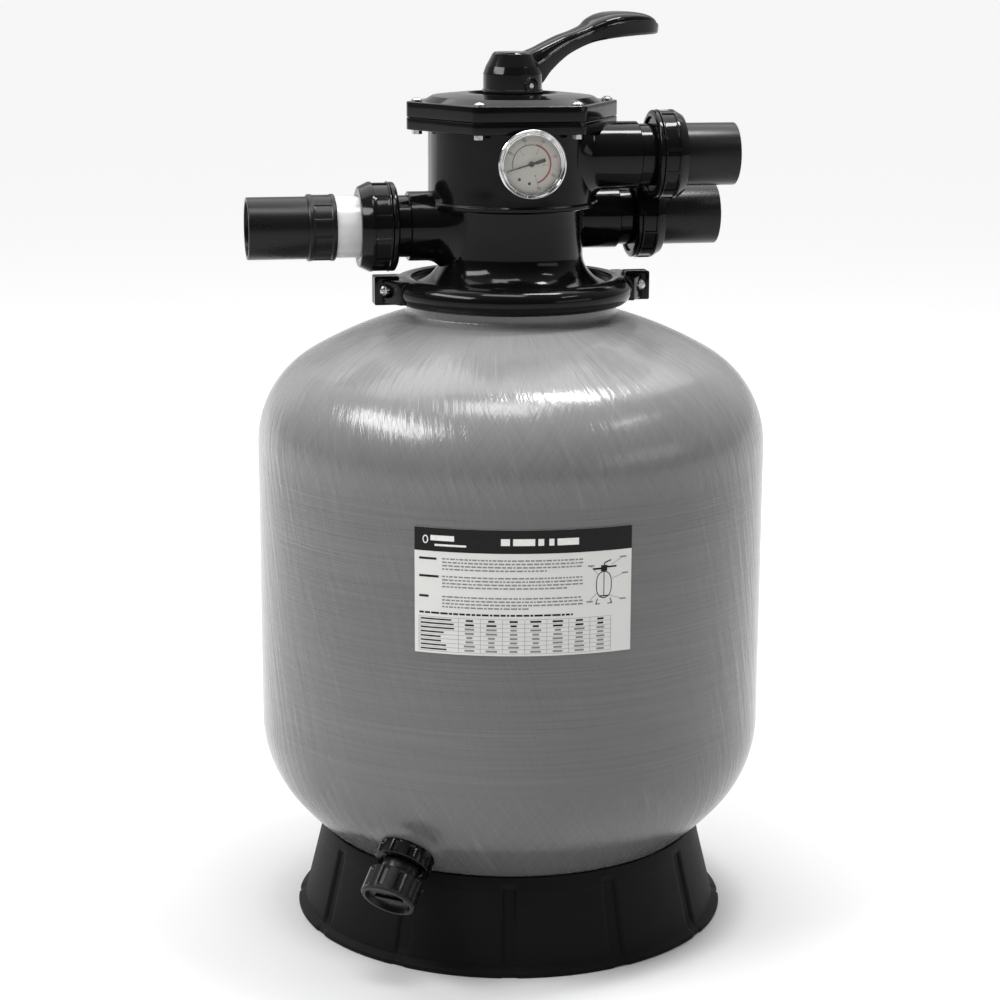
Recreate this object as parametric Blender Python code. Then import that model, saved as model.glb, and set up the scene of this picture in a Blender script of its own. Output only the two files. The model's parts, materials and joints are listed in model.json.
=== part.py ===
"""Top-mount sand filter tank with a six-way valve, built from its separate pieces.

Metres, +Z up. The origin lies on the floor on the tank's axis, with the front towards -Y.
The valve and its clamp stand turned about that axis, so they hang from an empty of their own.
"""
import math

import bmesh
import bpy
from mathutils import Matrix, Vector

# Driving dimensions
GAP = 0.0003                 # between touching pieces
MERGE = 1e-6                 # welds the points that a spin leaves on its axis
COARSE, MEDIUM, FINE, TANK_SIDES = 8, 20, 24, 36      # sides of a round piece
TANK_R = 0.2275
TANK_WALL = 0.005
CYLINDER_BOTTOM, CYLINDER_TOP = 0.1848, 0.4383
TOP_CROWN_R, TOP_KNUCKLE_R = 0.3638, 0.0916
LOW_CROWN_R, LOW_KNUCKLE_R = 0.26485, 0.1079
KNUCKLE_TOP_END, KNUCKLE_LOW_END = 60.0, -40.4      # degrees above the horizontal
NECK_R, NECK_BORE, FLANGE_R = 0.0935, 0.075, 0.100
FLANGE_BOTTOM, JOINT_Z = 0.5670, 0.5750
BASE_LIP_R, BASE_TOP_R, BASE_TOP_Z, BASE_WALL = 0.1972, 0.1720, 0.0840, 0.004
BASE_PANELS = 12
VALVE_TURN = 10.7            # degrees that the valve stands turned from the front
LOWER_R, UPPER_R, WAIST_Z = 0.0630, 0.0744, 0.6490
CHAMBER_R, SEAT_Z = 0.0660, 0.6600
DECK_Z, LID_Z, LID_TOP = 0.7165, 0.7273, 0.7408
SCREW_CIRCLE, CORNER_R, SCREW_COUNT = 0.0850, 0.0090, 6
PORT_BORE, PIPE_R, PIPE_BORE = 0.0240, 0.0275, 0.0240
UNION_R, UNION_PADS, COLLAR_R, COLLAR_NECK_R, COLLAR_LENGTH = 0.0395, 12, 0.0328, 0.0272, 0.0120
PUMP_COLLAR, RETURN_COLLAR, WASTE_COLLAR = 0.1215, 0.1175, 0.1070
RECESS_Z = 0.7440
PUMP_Y, PUMP_Z, RETURN_Y, RETURN_Z, WASTE_Z = -0.0220, 0.6940, 0.0400, 0.6350, 0.6320
PIPE_END, WASTE_END = 0.1960, 0.2355
CLAMP_R, CLAMP_BOTTOM, CLAMP_TOP, EAR_END, BOLT_X = 0.1080, 0.5630, 0.5870, 0.1245, 0.1150
BOLT_Z, BOLT_HOLE, SCREW_R = 0.5770, 0.0030, 0.0025
PIN_Z, ARM_TURN, HUB_R, HUB_BOTTOM = 0.7545, 30.0, 0.0268, 0.7460
STEM_R, PIN_R = 0.0072, 0.0027
GAUGE_Z, GAUGE_R, DIAL_R, NEEDLE_REST = 0.6926, 0.0295, 0.0256, 196.0
DRAIN_AZIMUTH, DRAIN_TILT, DRAIN_R, DRAIN_Z = -26.5, 42.0, 0.1968, 0.1092
DRAIN_NUT_R, DRAIN_PIPE_R = 0.0250, 0.0150
STANDPIPE_R, SOCKET_R = 0.0250, 0.0310
LATERAL_COUNT, LATERAL_SIDES, LATERAL_R, LATERAL_Z, LATERAL_END = 8, 10, 0.0120, 0.1040, 0.1550
LABEL_LEFT, LABEL_RIGHT, LABEL_BOTTOM, LABEL_TOP = -20.5, 25.9, 0.300, 0.407

FINISHES = {                 # colour, roughness, metallic
    "wound_fibreglass": ((0.22, 0.22, 0.215), 0.30, 0.0),
    "gloss_black": ((0.012, 0.012, 0.013), 0.18, 0.0),
    "satin_black": ((0.018, 0.018, 0.019), 0.42, 0.0),
    "matte_black": ((0.014, 0.014, 0.014), 0.55, 0.0),
    "printed_film": ((0.80, 0.80, 0.78), 0.40, 0.0),
    "zinc": ((0.62, 0.62, 0.60), 0.30, 1.0),
    "chrome": ((0.80, 0.80, 0.80), 0.12, 1.0),
    "dial_white": ((0.78, 0.77, 0.72), 0.45, 0.0),
    "clear_plastic": ((0.86, 0.88, 0.88), 0.10, 0.0),
    "rubber": ((0.020, 0.020, 0.020), 0.75, 0.0),
    "white_plastic": ((0.72, 0.72, 0.70), 0.45, 0.0),
    "spring_steel": ((0.50, 0.50, 0.50), 0.30, 1.0),
}


def clear_scene():
    for item in list(bpy.data.objects):
        bpy.data.objects.remove(item)


def finish(name):
    """The named material, made once."""
    made = bpy.data.materials.get(name)
    if made:
        return made
    colour, roughness, metallic = FINISHES[name]
    made = bpy.data.materials.new(name)
    made.use_nodes = True
    shader = made.node_tree.nodes["Principled BSDF"]
    shader.inputs["Base Color"].default_value = (*colour, 1.0)
    shader.inputs["Roughness"].default_value = roughness
    shader.inputs["Metallic"].default_value = metallic
    return made


def frame(name, location=(0, 0, 0), turn=(0, 0, 0), parent=None):
    """An empty that pieces hang from; turn is in degrees about X, Y and Z."""
    holder = bpy.data.objects.new(name, None)
    holder.location = location
    holder.rotation_euler = [math.radians(angle) for angle in turn]
    holder.parent = parent
    bpy.context.collection.objects.link(holder)
    return holder


def piece(name, mesh, parent, look):
    """Put a bmesh in the scene as one named, shaded object."""
    data = bpy.data.meshes.new(name)
    mesh.to_mesh(data)
    mesh.free()
    data.shade_smooth()
    data.set_sharp_from_angle(angle=math.radians(35))
    if look:
        data.materials.append(finish(look))
    made = bpy.data.objects.new(name, data)
    made.parent = parent
    bpy.context.collection.objects.link(made)
    return made


def boolean(target, mesh, operation):
    """Cut or join a bmesh, which lies in the target's own frame."""
    tool = piece(f"{target.name}_tool_{len(target.modifiers)}", mesh, target.parent, None)
    tool.hide_render = True
    tool.display_type = "WIRE"
    modifier = target.modifiers.new(operation.lower(), "BOOLEAN")
    modifier.operation = operation
    modifier.object = tool


def cut(target, *meshes):
    for mesh in meshes:
        boolean(target, mesh, "DIFFERENCE")


def join(target, *meshes):
    for mesh in meshes:
        boolean(target, mesh, "UNION")


def arc(centre_r, centre_z, radius, start, end, count):
    """Points along an arc in the (r, z) plane; angles in degrees."""
    angles = [math.radians(start + (end - start) * step / count) for step in range(count + 1)]
    return [(centre_r + radius * math.cos(a), centre_z + radius * math.sin(a)) for a in angles]


def turned(profile, steps=MEDIUM):
    """A profile of (r, z) points spun about Z, closed on itself or on the axis."""
    mesh = bmesh.new()
    points = [mesh.verts.new((r, 0.0, z)) for r, z in profile]
    edges = [mesh.edges.new(pair) for pair in zip(points, points[1:])]
    if profile[0][0] > 0:
        edges.append(mesh.edges.new((points[-1], points[0])))
    bmesh.ops.spin(mesh, geom=points + edges, cent=(0, 0, 0), axis=(0, 0, 1),
                   angle=math.tau, steps=steps, use_merge=True)
    bmesh.ops.remove_doubles(mesh, verts=mesh.verts, dist=MERGE)
    bmesh.ops.recalc_face_normals(mesh, faces=mesh.faces)
    return mesh


def rod(radius, low, high, steps=COARSE):
    return turned([(0, low), (radius, low), (radius, high), (0, high)], steps)


def tube(outer, inner, low, high, steps=MEDIUM):
    return turned([(inner, low), (outer, low), (outer, high), (inner, high)], steps)


def o_ring(radius, thickness, height, steps=MEDIUM, sides=6):
    return turned(arc(radius, height, thickness / 2, 0, 360, sides)[:-1], steps)


def prism(outline, low, high):
    """An outline of (x, y) points extruded along Z."""
    mesh = bmesh.new()
    base = mesh.faces.new([mesh.verts.new((x, y, low)) for x, y in outline])
    raised = bmesh.ops.extrude_face_region(mesh, geom=[base])["geom"]
    points = [item for item in raised if isinstance(item, bmesh.types.BMVert)]
    bmesh.ops.translate(mesh, verts=points, vec=(0, 0, high - low))
    bmesh.ops.recalc_face_normals(mesh, faces=mesh.faces)
    return mesh


def sector(inner, outer, start, end, low, high, count=5):
    """A slice of a ring between two angles in degrees."""
    outside = arc(0, 0, outer, start, end, count)
    inside = arc(0, 0, inner, end, start, count)
    return prism(outside + inside, low, high)


def polygon(radius, sides, turn=0.0):
    return arc(0, 0, radius, turn, turn + 360, sides)[:-1]


def skin(rings, closed=False):
    """Bridge a row of point rings into one solid, with end caps unless it closes."""
    mesh = bmesh.new()
    loops = [[mesh.verts.new(point) for point in ring] for ring in rings]
    followers = loops[1:] + ([loops[0]] if closed else [])
    for here, there in zip(loops, followers):
        for index in range(len(here)):
            before = index - 1
            mesh.faces.new((here[before], here[index], there[index], there[before]))
    if not closed:
        mesh.faces.new(loops[0])
        mesh.faces.new(loops[-1])
    bmesh.ops.recalc_face_normals(mesh, faces=mesh.faces)
    return mesh


def swept(profile, start, end, count):
    """A closed (r, z) profile carried about Z from one angle in degrees to another."""
    rings = []
    for step in range(count + 1):
        angle = math.radians(start + (end - start) * step / count)
        rings.append([(r * math.cos(angle), r * math.sin(angle), z) for r, z in profile])
    return skin(rings)


def placed(mesh, offset=(0, 0, 0), axis=(0, 0, 1)):
    """Lay a mesh whose axis is Z along another axis, then move it."""
    rotation = Vector((0, 0, 1)).rotation_difference(Vector(axis)).to_matrix()
    bmesh.ops.rotate(mesh, verts=mesh.verts, cent=(0, 0, 0), matrix=rotation)
    bmesh.ops.translate(mesh, verts=mesh.verts, vec=offset)
    return mesh


def turned_by(mesh, degrees):
    """Turn a mesh about Z, so that a cutter's edges miss its own."""
    matrix = Matrix.Rotation(math.radians(degrees), 3, "Z")
    bmesh.ops.rotate(mesh, verts=mesh.verts, cent=(0, 0, 0), matrix=matrix)
    return mesh


def grooved(mesh, count, depth, above, steps):
    """Pull in one point in each group of a turned mesh, to leave raised pads between."""
    group = steps // count
    for point in mesh.verts:
        radius = math.hypot(point.co.x, point.co.y)
        place = round(math.atan2(point.co.y, point.co.x) / math.tau * steps)
        if radius > above and place % group == 0:
            shrink = (radius - depth) / radius
            point.co.x *= shrink
            point.co.y *= shrink
    return mesh


def hexagon_plate(low, high):
    """The rounded hexagon that the lid and the body's deck share."""
    outline = []
    for corner in range(SCREW_COUNT):
        middle = math.radians(60 * corner)
        centre_x, centre_y = SCREW_CIRCLE * math.cos(middle), SCREW_CIRCLE * math.sin(middle)
        outline += arc(centre_x, centre_y, CORNER_R, 60 * corner - 30, 60 * corner + 30, 3)
    return prism(outline, low, high)


def screw_holes(low, high):
    return [placed(rod(BOLT_HOLE, low, high), place) for place in screw_places()]


def screw_places():
    angles = [math.radians(60 * index) for index in range(SCREW_COUNT)]
    return [(SCREW_CIRCLE * math.cos(a), SCREW_CIRCLE * math.sin(a), 0) for a in angles]


def base_skirt():
    inner = BASE_TOP_R - BASE_WALL
    group = 4
    steps = BASE_PANELS * group
    profile = [(0.1900, 0), (0.1960, 0), (BASE_LIP_R, 0.0015), (0.1965, 0.0052), (0.1905, 0.0080),
               (0.1760, 0.0670), (BASE_TOP_R, BASE_TOP_Z), (inner, BASE_TOP_Z - 0.0030),
               (0.1720, 0.0665), (0.1862, 0.0070)]
    mesh = turned(profile, steps)
    for point in mesh.verts:
        radius = math.hypot(point.co.x, point.co.y)
        place = round(math.atan2(point.co.y, point.co.x) / math.tau * steps)
        outside = radius > BASE_TOP_R + 0.002 and 0.006 < point.co.z < 0.07
        if outside and place % group == 0:
            point.co.x *= 1 - 0.0022 / radius
            point.co.y *= 1 - 0.0022 / radius
    piece("base_skirt", mesh, None, "matte_black")


def dome(offset, steps):
    """The tank's side in (r, z), from its foot to the neck, moved in by an offset.

    steps is the number of facets along each knuckle; the crowns take one fewer."""
    low_centre_z = LOW_CROWN_R + 0.0216
    low_r = TANK_R - LOW_KNUCKLE_R
    top_r = TANK_R - TOP_KNUCKLE_R
    top_centre_z = 0.2025
    neck_angle = math.degrees(math.acos(NECK_R / (TOP_CROWN_R - offset)))
    return (arc(0, low_centre_z, LOW_CROWN_R - offset, -90, KNUCKLE_LOW_END, steps - 1)[:-1]
            + arc(low_r, CYLINDER_BOTTOM, LOW_KNUCKLE_R - offset, KNUCKLE_LOW_END, 0, steps - 1)
            + arc(top_r, CYLINDER_TOP, TOP_KNUCKLE_R - offset, 0, KNUCKLE_TOP_END, steps)[:-1]
            + arc(0, top_centre_z, TOP_CROWN_R - offset, KNUCKLE_TOP_END, neck_angle, steps - 2))


def tank_shell(drain):
    neck = [(NECK_R, FLANGE_BOTTOM), (FLANGE_R, FLANGE_BOTTOM), (FLANGE_R, JOINT_Z - GAP),
            (0.0885, JOINT_Z - GAP), (0.0885, 0.5708), (0.0828, 0.5708), (0.0828, JOINT_Z - GAP),
            (NECK_BORE, JOINT_Z - GAP), (NECK_BORE, 0.5500)]
    profile = dome(0.0, 5)
    profile[0] = (0, profile[0][1])
    inside = dome(TANK_WALL, 4)[::-1]
    inside[-1] = (0, inside[-1][1])
    shell = piece("tank_shell", turned(profile + neck + inside, TANK_SIDES), None, "wound_fibreglass")
    pad = turned_by(rod(0.0280, -0.0045, 0.0010, MEDIUM), 4)
    hole = rod(DRAIN_PIPE_R + 0.0006, -0.03, 0.03, MEDIUM)
    for mesh in (pad, hole):
        bmesh.ops.transform(mesh, matrix=drain.matrix_basis, verts=mesh.verts)
    join(shell, pad)
    cut(shell, hole)


def rating_label():
    """A thin sheet bent round the tank's side."""
    low, high = TANK_R + GAP, TANK_R + 0.0008
    profile = [(low, LABEL_BOTTOM), (high, LABEL_BOTTOM), (high, LABEL_TOP), (low, LABEL_TOP)]
    facet = 360 / TANK_SIDES
    inner_edges = [facet * k for k in range(-20, 20) if LABEL_LEFT < facet * k < LABEL_RIGHT]
    rings = []
    for azimuth in [LABEL_LEFT] + inner_edges + [LABEL_RIGHT]:
        angle = math.radians(azimuth - 90)
        rings.append([(r * math.cos(angle), r * math.sin(angle), z) for r, z in profile])
    piece("rating_label", skin(rings), None, "printed_film")


def clamp(valve):
    outer = arc(CLAMP_R - 0.0118, 0.5750, 0.0118, -75, 75, 4)
    profile = ([(0.0945, CLAMP_BOTTOM)] + outer + [(0.0950, CLAMP_TOP), (0.0900, 0.5862),
               (0.0898, 0.5825), (0.1012, 0.5825), (0.1012, 0.5665), (0.0945, 0.5665)])
    for side, name in ((-1, "front"), (1, "back")):
        start = 0.4 if side > 0 else 180.4
        half = piece(f"clamp_{name}", swept(profile, start, start + 179.2, 16), valve, "gloss_black")
        for end in (-1, 1):
            near, far = sorted((end * 0.1025, end * EAR_END))
            low, high = sorted((side * 0.0005, side * 0.0095))
            outline = [(near, low), (far, low), (far, high), (near, high)]
            join(half, prism(outline, 0.5635, 0.5890))
        for end in (-1, 1):
            hole = rod(BOLT_HOLE, -0.02, 0.02)
            cut(half, placed(hole, (end * BOLT_X, 0, BOLT_Z), (0, 1, 0)))
    for end, name in ((-1, "left"), (1, "right")):
        place = (end * BOLT_X, 0, BOLT_Z)
        bolt = turned([(0, -0.0155), (SCREW_R, -0.0155), (SCREW_R, 0.0098), (0.0052, 0.0098),
                       (0.0052, 0.0115), (0.0038, 0.0131), (0, 0.0136)], COARSE)
        holder = frame(f"clamp_bolt_{name}_axis", place, (90, 0, 0), valve)
        piece(f"clamp_bolt_{name}", bolt, holder, "zinc")
        nut = piece(f"clamp_nut_{name}", prism(polygon(0.0055, 6), -0.0142, -0.0099), holder, "zinc")
        cut(nut, rod(SCREW_R + 2 * GAP, -0.02, 0))


def port(start, root, outer, length, collar):
    """Outside of one port along Z: the pipe, its neck and the collar that the nut screws on."""
    tip = collar + COLLAR_LENGTH
    blend = start + 0.045
    return turned([(0, start), (root, start), (outer, blend), (outer, length), (COLLAR_NECK_R, length),
                   (COLLAR_NECK_R, collar), (COLLAR_R, collar), (COLLAR_R, tip), (0, tip)])


def bore(start):
    """A port's waterway, turned so that its edges miss the facets of the port's end."""
    return turned_by(rod(PORT_BORE, start, 0.15, MEDIUM), 180 / MEDIUM)


def valve_body(valve):
    """The six-way body: an upper chamber over six wedge-shaped channels round the standpipe."""
    flare = arc(0.0895, 0.6080, 0.0265, 262, 180, 5)
    profile = ([(0, JOINT_Z), (0.0980, JOINT_Z), (0.0980, 0.5820), (0.0890, 0.5822)] + flare
               + [(LOWER_R, WAIST_Z), (0.0725, WAIST_Z), (UPPER_R, WAIST_Z + 0.002),
                  (UPPER_R, DECK_Z + 0.004), (0, DECK_Z + 0.004)])
    body = piece("valve_body", turned(profile, FINE), valve, "gloss_black")
    pump_place, return_place = (0, PUMP_Y, PUMP_Z), (0, RETURN_Y, RETURN_Z)
    waste_place, gauge_place = (0, 0, WASTE_Z), (0, 0, GAUGE_Z)
    right, left, front = (1, 0, 0), (-1, 0, 0), (0, -1, 0)
    join(body, hexagon_plate(DECK_Z, LID_Z - GAP), rod(0.0735, 0.5620, 0.5800, FINE),
         placed(port(0.040, 0.0310, 0.0295, 0.1070, PUMP_COLLAR), pump_place, right),
         placed(port(0.010, 0.0300, 0.0300, 0.1030, RETURN_COLLAR), return_place, right),
         placed(port(0.035, 0.0420, 0.0305, 0.0940, WASTE_COLLAR), waste_place, left),
         placed(turned_by(rod(0.0140, 0.0690, 0.0826, 12), 7), gauge_place, front))
    chamber = turned([(0, SEAT_Z), (CHAMBER_R, SEAT_Z), (CHAMBER_R, 0.7245), (0.0708, 0.7245),
                      (0.0708, 0.7400), (0, 0.7400)], FINE)
    plenum = turned([(0, 0.5500), (0.0660, 0.5500), (0.0660, 0.5900), (SOCKET_R, 0.5900),
                     (SOCKET_R, 0.5740), (STANDPIPE_R + 0.0005, 0.5740),
                     (STANDPIPE_R + 0.0005, 0.6380), (0, 0.6380)], FINE)
    cut(body, turned_by(chamber, 5), turned_by(plenum, 5))
    open_to_tank = (0, 120, 240)
    for middle in range(0, 360, 60):
        floor = 0.5850 if middle in open_to_tank else 0.5960
        cut(body, sector(SOCKET_R + 0.001, 0.0575, middle - 26, middle + 26, floor, 0.70, 3))
    standpipe_window = prism([(0.010, -0.011), (0.036, -0.011), (0.036, 0.011), (0.010, 0.011)],
                             0.600, 0.634)
    return_window = prism([(0.030, 0.033), (0.068, 0.033), (0.068, 0.056), (0.030, 0.056)],
                          0.619, 0.651)
    cut(body, turned_by(standpipe_window, -60), return_window,
        placed(bore(0.050), pump_place, right), placed(bore(0.066), return_place, right),
        placed(bore(0.045), waste_place, left),
        placed(turned_by(rod(0.0072, 0.050, 0.09), 9), gauge_place, front),
        placed(turned_by(rod(0.0056, 0.7120, DECK_Z), 10), screw_places()[0]),
        *screw_holes(0.70, 0.74))


def lid(valve):
    crown = turned([(0.0655, 0.7300), (0.0790, 0.7300), (0.0790, LID_TOP - 0.0005), (0.0700, 0.7455),
                    (0.0450, 0.7480), (0.0385, 0.7480), (0.0375, RECESS_Z), (0.0077, RECESS_Z),
                    (0.0077, 0.7418), (0.0110, 0.7418), (0.0110, 0.7380), (0.0635, 0.7380)], FINE)
    cover = piece("valve_lid", hexagon_plate(LID_Z, LID_TOP), valve, "gloss_black")
    cut(cover, turned_by(rod(0.0662, 0.70, 0.76, FINE), 5))
    join(cover, crown)
    cut(cover, *screw_holes(0.70, 0.76))
    piece("lid_gasket", tube(0.0700, 0.0664, 0.7248, LID_Z - 2 * GAP, FINE), valve, "rubber")
    screw = [(0, 0.7122), (SCREW_R, 0.7122), (SCREW_R, LID_TOP + GAP), (0.0050, LID_TOP + GAP),
             (0.0050, 0.7424), (0.0036, 0.7439), (0, 0.7443)]
    for index, place in enumerate(screw_places(), 1):
        piece(f"lid_screw_{index}", placed(turned(screw, COARSE), place), valve, "zinc")
        nut = prism(polygon(0.0047, 6), 0.7125, DECK_Z - GAP)
        nut = piece(f"lid_nut_{index}", placed(nut, place), valve, "zinc")
        cut(nut, placed(rod(SCREW_R + 2 * GAP, 0.70, 0.73), place))


def rotor(valve):
    """The diverter with its stem, the seals round it and the spring that seats it."""
    gasket = piece("spider_gasket", rod(0.0640, SEAT_Z + 0.0002, 0.6616, FINE), valve, "rubber")
    for middle in range(0, 360, 60):
        cut(gasket, sector(0.0300, 0.0570, middle - 25, middle + 25, 0.65, 0.67, 3))
    top = 0.7625
    profile = [(0, 0.6620), (0.0640, 0.6620), (0.0640, 0.6700), (0.0200, 0.6700), (0.0200, 0.6740),
               (0.0120, 0.6740), (0.0100, 0.7000), (STEM_R, 0.7020), (STEM_R, top), (0, top)]
    diverter = piece("diverter", turned(profile, FINE), valve, "white_plastic")
    join(diverter, sector(0.0230, 0.0600, 91, 209, 0.6680, 0.6860, 6))
    cut(diverter, sector(0.0270, 0.0560, 95, 205, 0.6500, 0.6820, 6))
    cut(diverter, sector(0.0270, 0.0570, -25, 25, 0.6500, 0.6800, 3))
    cut(diverter, pin_rod(PIN_R + GAP))
    piece("stem_seal", o_ring(0.00935, 0.0026, 0.7402), valve, "rubber")
    piece("handle_washer", tube(0.0250, 0.0120, 0.7443, 0.7457), valve, "white_plastic")
    spring(valve, 0.6745, 0.7374)


def pin_rod(radius):
    """A cylinder along the cross pin, in the valve's frame."""
    across = math.radians(ARM_TURN + 90)
    return placed(rod(radius, -0.05, 0.05), (0, 0, PIN_Z), (math.cos(across), math.sin(across), 0))


def spring(valve, low, high):
    coil, wire, turns, per_turn, sides = 0.0158, 0.0013, 5, 12, 5
    rings = []
    for step in range(turns * per_turn + 1):
        angle = math.tau * step / per_turn
        share = step / (turns * per_turn)
        height = low + wire + (high - low - 2 * wire) * share
        ring = []
        for around in range(sides):
            tilt = math.tau * around / sides
            radius = coil + wire * math.cos(tilt)
            ring.append((radius * math.cos(angle), radius * math.sin(angle),
                         height + wire * math.sin(tilt)))
        rings.append(ring)
    piece("spring", skin(rings), valve, "spring_steel")


def handle(valve):
    """Hub and arm in a frame whose Y axis is the cross pin and whose X axis is the arm."""
    axis = frame("handle_axis", (0, 0, PIN_Z), (0, 0, ARM_TURN), valve)
    top, cavity = 0.0285, 0.0125
    bottom = HUB_BOTTOM - PIN_Z
    hub = turned([(0, cavity), (0.0098, cavity), (0.0098, bottom), (HUB_R, bottom),
                  (HUB_R, 0.0115), (0.0230, 0.0155), (0.0172, 0.0265), (0.0155, top), (0, top)])
    lever = piece("handle", hub, axis, "gloss_black")
    stations = (              # along the arm, underside, top, half width
        (0.012, 0.0020, 0.0235, 0.0115), (0.026, 0.0030, 0.0275, 0.0120),
        (0.037, 0.0125, 0.0335, 0.0120), (0.054, 0.0235, 0.0405, 0.0120),
        (0.070, 0.0295, 0.0445, 0.0120), (0.085, 0.0345, 0.0500, 0.0135),
        (0.098, 0.0370, 0.0565, 0.0195), (0.112, 0.0385, 0.0605, 0.0235),
        (0.128, 0.0397, 0.0615, 0.0245), (0.145, 0.0403, 0.0600, 0.0230),
        (0.158, 0.0406, 0.0565, 0.0180), (0.166, 0.0412, 0.0515, 0.0115),
        (0.169, 0.0425, 0.0475, 0.0045))
    rings = []
    for along, under, over, half in stations:
        middle, rise = (under + over) / 2, (over - under) / 2
        rings.append([(along, half * squared(math.cos(a)), middle + rise * squared(math.sin(a)))
                      for a in (math.tau * k / 12 for k in range(12))])
    join(lever, skin(rings))
    cut(lever, rod(0.0098, bottom - 0.01, cavity, MEDIUM))
    cut(lever, placed(rod(PIN_R + GAP, -0.05, 0.05), axis=(0, 1, 0)))
    piece("handle_pin", placed(rod(PIN_R, -0.0258, 0.0258), axis=(0, 1, 0)), axis, "zinc")


def squared(value):
    """Swell a circle's coordinate towards a rounded square."""
    return math.copysign(abs(value) ** 0.6, value)


def gauge(valve):
    """A dial gauge whose local Z points out of the valve's front."""
    face = frame("gauge_axis", (0, 0, GAUGE_Z), (90, 0, 0), valve)
    case = turned([(0, 0.0600), (0.0065, 0.0600), (0.0065, 0.0832), (0.0272, 0.0832),
                   (0.0284, 0.0840), (0.0284, 0.0898), (0.0262, 0.0898), (0.0262, 0.0846),
                   (0, 0.0846)])
    piece("gauge_case", case, face, "gloss_black")
    piece("gauge_dial", tube(DIAL_R, 0.0014, 0.0855, 0.0862), face, "dial_white")
    bezel = turned([(0.0288, 0.0865), (GAUGE_R, 0.0865), (GAUGE_R, 0.0916), (0.0286, 0.0928),
                    (0.0262, 0.0928), (0.0248, 0.0918), (0.0248, 0.0912), (0.0288, 0.0912)], FINE)
    piece("gauge_bezel", bezel, face, "chrome")
    piece("gauge_lens", rod(0.0282, 0.0901, 0.0909, MEDIUM), face, "clear_plastic")
    turn = frame("needle_axis", (0, 0, 0), (0, 0, NEEDLE_REST), face)
    outline = [(-0.0124, -0.0014), (-0.0030, -0.0014), (-0.0030, -0.0007), (0.0204, -0.0003),
               (0.0204, 0.0003), (-0.0030, 0.0007), (-0.0030, 0.0014), (-0.0124, 0.0014)]
    needle = piece("gauge_needle", prism(outline, 0.0870, 0.0876), turn, "satin_black")
    join(needle, turned([(0, 0.0849), (0.0010, 0.0849), (0.0010, 0.0867), (0.0024, 0.0867),
                         (0.0024, 0.0884), (0, 0.0884)], 10))


def union_nut(name, axis, low, high, flange, hole):
    """A ribbed nut round a port's collar; its lip ends just past the tailpiece's flange."""
    lip = flange + 0.0004
    profile = [(0.0336, low), (0.0365, low), (UNION_R, low + 0.0030), (UNION_R, low + 0.0190),
               (0.0345, high), (hole, high), (hole, lip), (0.0336, lip)]
    mesh = grooved(turned(profile, TANK_SIDES), UNION_PADS, 0.0010, 0.0380, TANK_SIDES)
    piece(name, mesh, axis, "gloss_black")


def tailpiece(name, axis, low, flange):
    """A plain pipe end with the flange that its union nut pulls in."""
    profile = [(PIPE_BORE, low), (0.0326, low), (0.0326, flange), (PIPE_R, flange),
               (PIPE_R, PIPE_END), (PIPE_BORE, PIPE_END)]
    piece(name, turned(profile), axis, "satin_black")


def ports(valve):
    pump = frame("pump_axis", (0, PUMP_Y, PUMP_Z), (0, 90, 0), valve)
    back = frame("return_axis", (0, RETURN_Y, RETURN_Z), (0, 90, 0), valve)
    waste = frame("waste_axis", (0, 0, WASTE_Z), (0, -90, 0), valve)
    for name, axis, collar in (("pump", pump, PUMP_COLLAR), ("return", back, RETURN_COLLAR)):
        face = collar + COLLAR_LENGTH + 0.0004
        union_nut(f"{name}_union_nut", axis, collar - 0.0020, collar + 0.0255, face + 0.0048, 0.0280)
        tailpiece(f"{name}_tailpiece", axis, face, face + 0.0048)
    union_nut("waste_union_nut", waste, 0.1050, 0.1380, 0.1228, 0.0276)
    glass = [(0.0232, 0.1194), (0.0326, 0.1194), (0.0326, 0.1228), (0.0270, 0.1228),
             (0.0270, 0.1585), (0.0258, 0.1585), (0.0258, 0.1780), (0.0232, 0.1780)]
    piece("sight_glass", turned(glass), waste, "clear_plastic")
    coupling = [(0.0262, 0.1588), (0.0287, 0.1588), (0.0293, 0.1594), (0.0293, 0.1822),
                (0.0285, 0.1830), (0.0273, 0.1832), (0.0273, WASTE_END), (PIPE_BORE, WASTE_END),
                (PIPE_BORE, 0.1784), (0.0262, 0.1784)]
    mesh = grooved(turned(coupling, TANK_SIDES), UNION_PADS, 0.0010, 0.0286, TANK_SIDES)
    piece("waste_coupling", mesh, waste, "satin_black")


def drain_fitting(axis):
    """Local Z points out of the tank's lower dome."""
    ribs, steps = 10, 40
    body = turned([(0.0100, -0.0140), (0.0210, -0.0140), (0.0210, -0.0112), (DRAIN_PIPE_R, -0.0112),
                   (DRAIN_PIPE_R, 0.0155), (0.0165, 0.0155), (0.0165, 0.0262), (DRAIN_PIPE_R, 0.0262),
                   (DRAIN_PIPE_R, 0.0440), (0.0100, 0.0440)])
    piece("drain_body", body, axis, "satin_black")
    piece("drain_gasket", tube(0.0200, 0.0154, -0.0109, -0.0094), axis, "rubber")
    nut = turned([(0.0154, 0.0013), (0.0243, 0.0013), (DRAIN_NUT_R, 0.0022), (DRAIN_NUT_R, 0.0140),
                  (0.0240, 0.0150), (0.0154, 0.0150)], steps)
    piece("drain_lock_nut", grooved(nut, ribs, 0.0015, 0.0240, steps), axis, "satin_black")
    cap = turned([(0, 0.0450), (0.0155, 0.0450), (0.0155, 0.0270), (0.0240, 0.0270),
                  (DRAIN_NUT_R, 0.0280), (DRAIN_NUT_R, 0.0485), (0.0236, 0.0500), (0, 0.0500)], steps)
    piece("drain_cap", grooved(cap, ribs, 0.0015, 0.0235, steps), axis, "satin_black")


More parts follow.
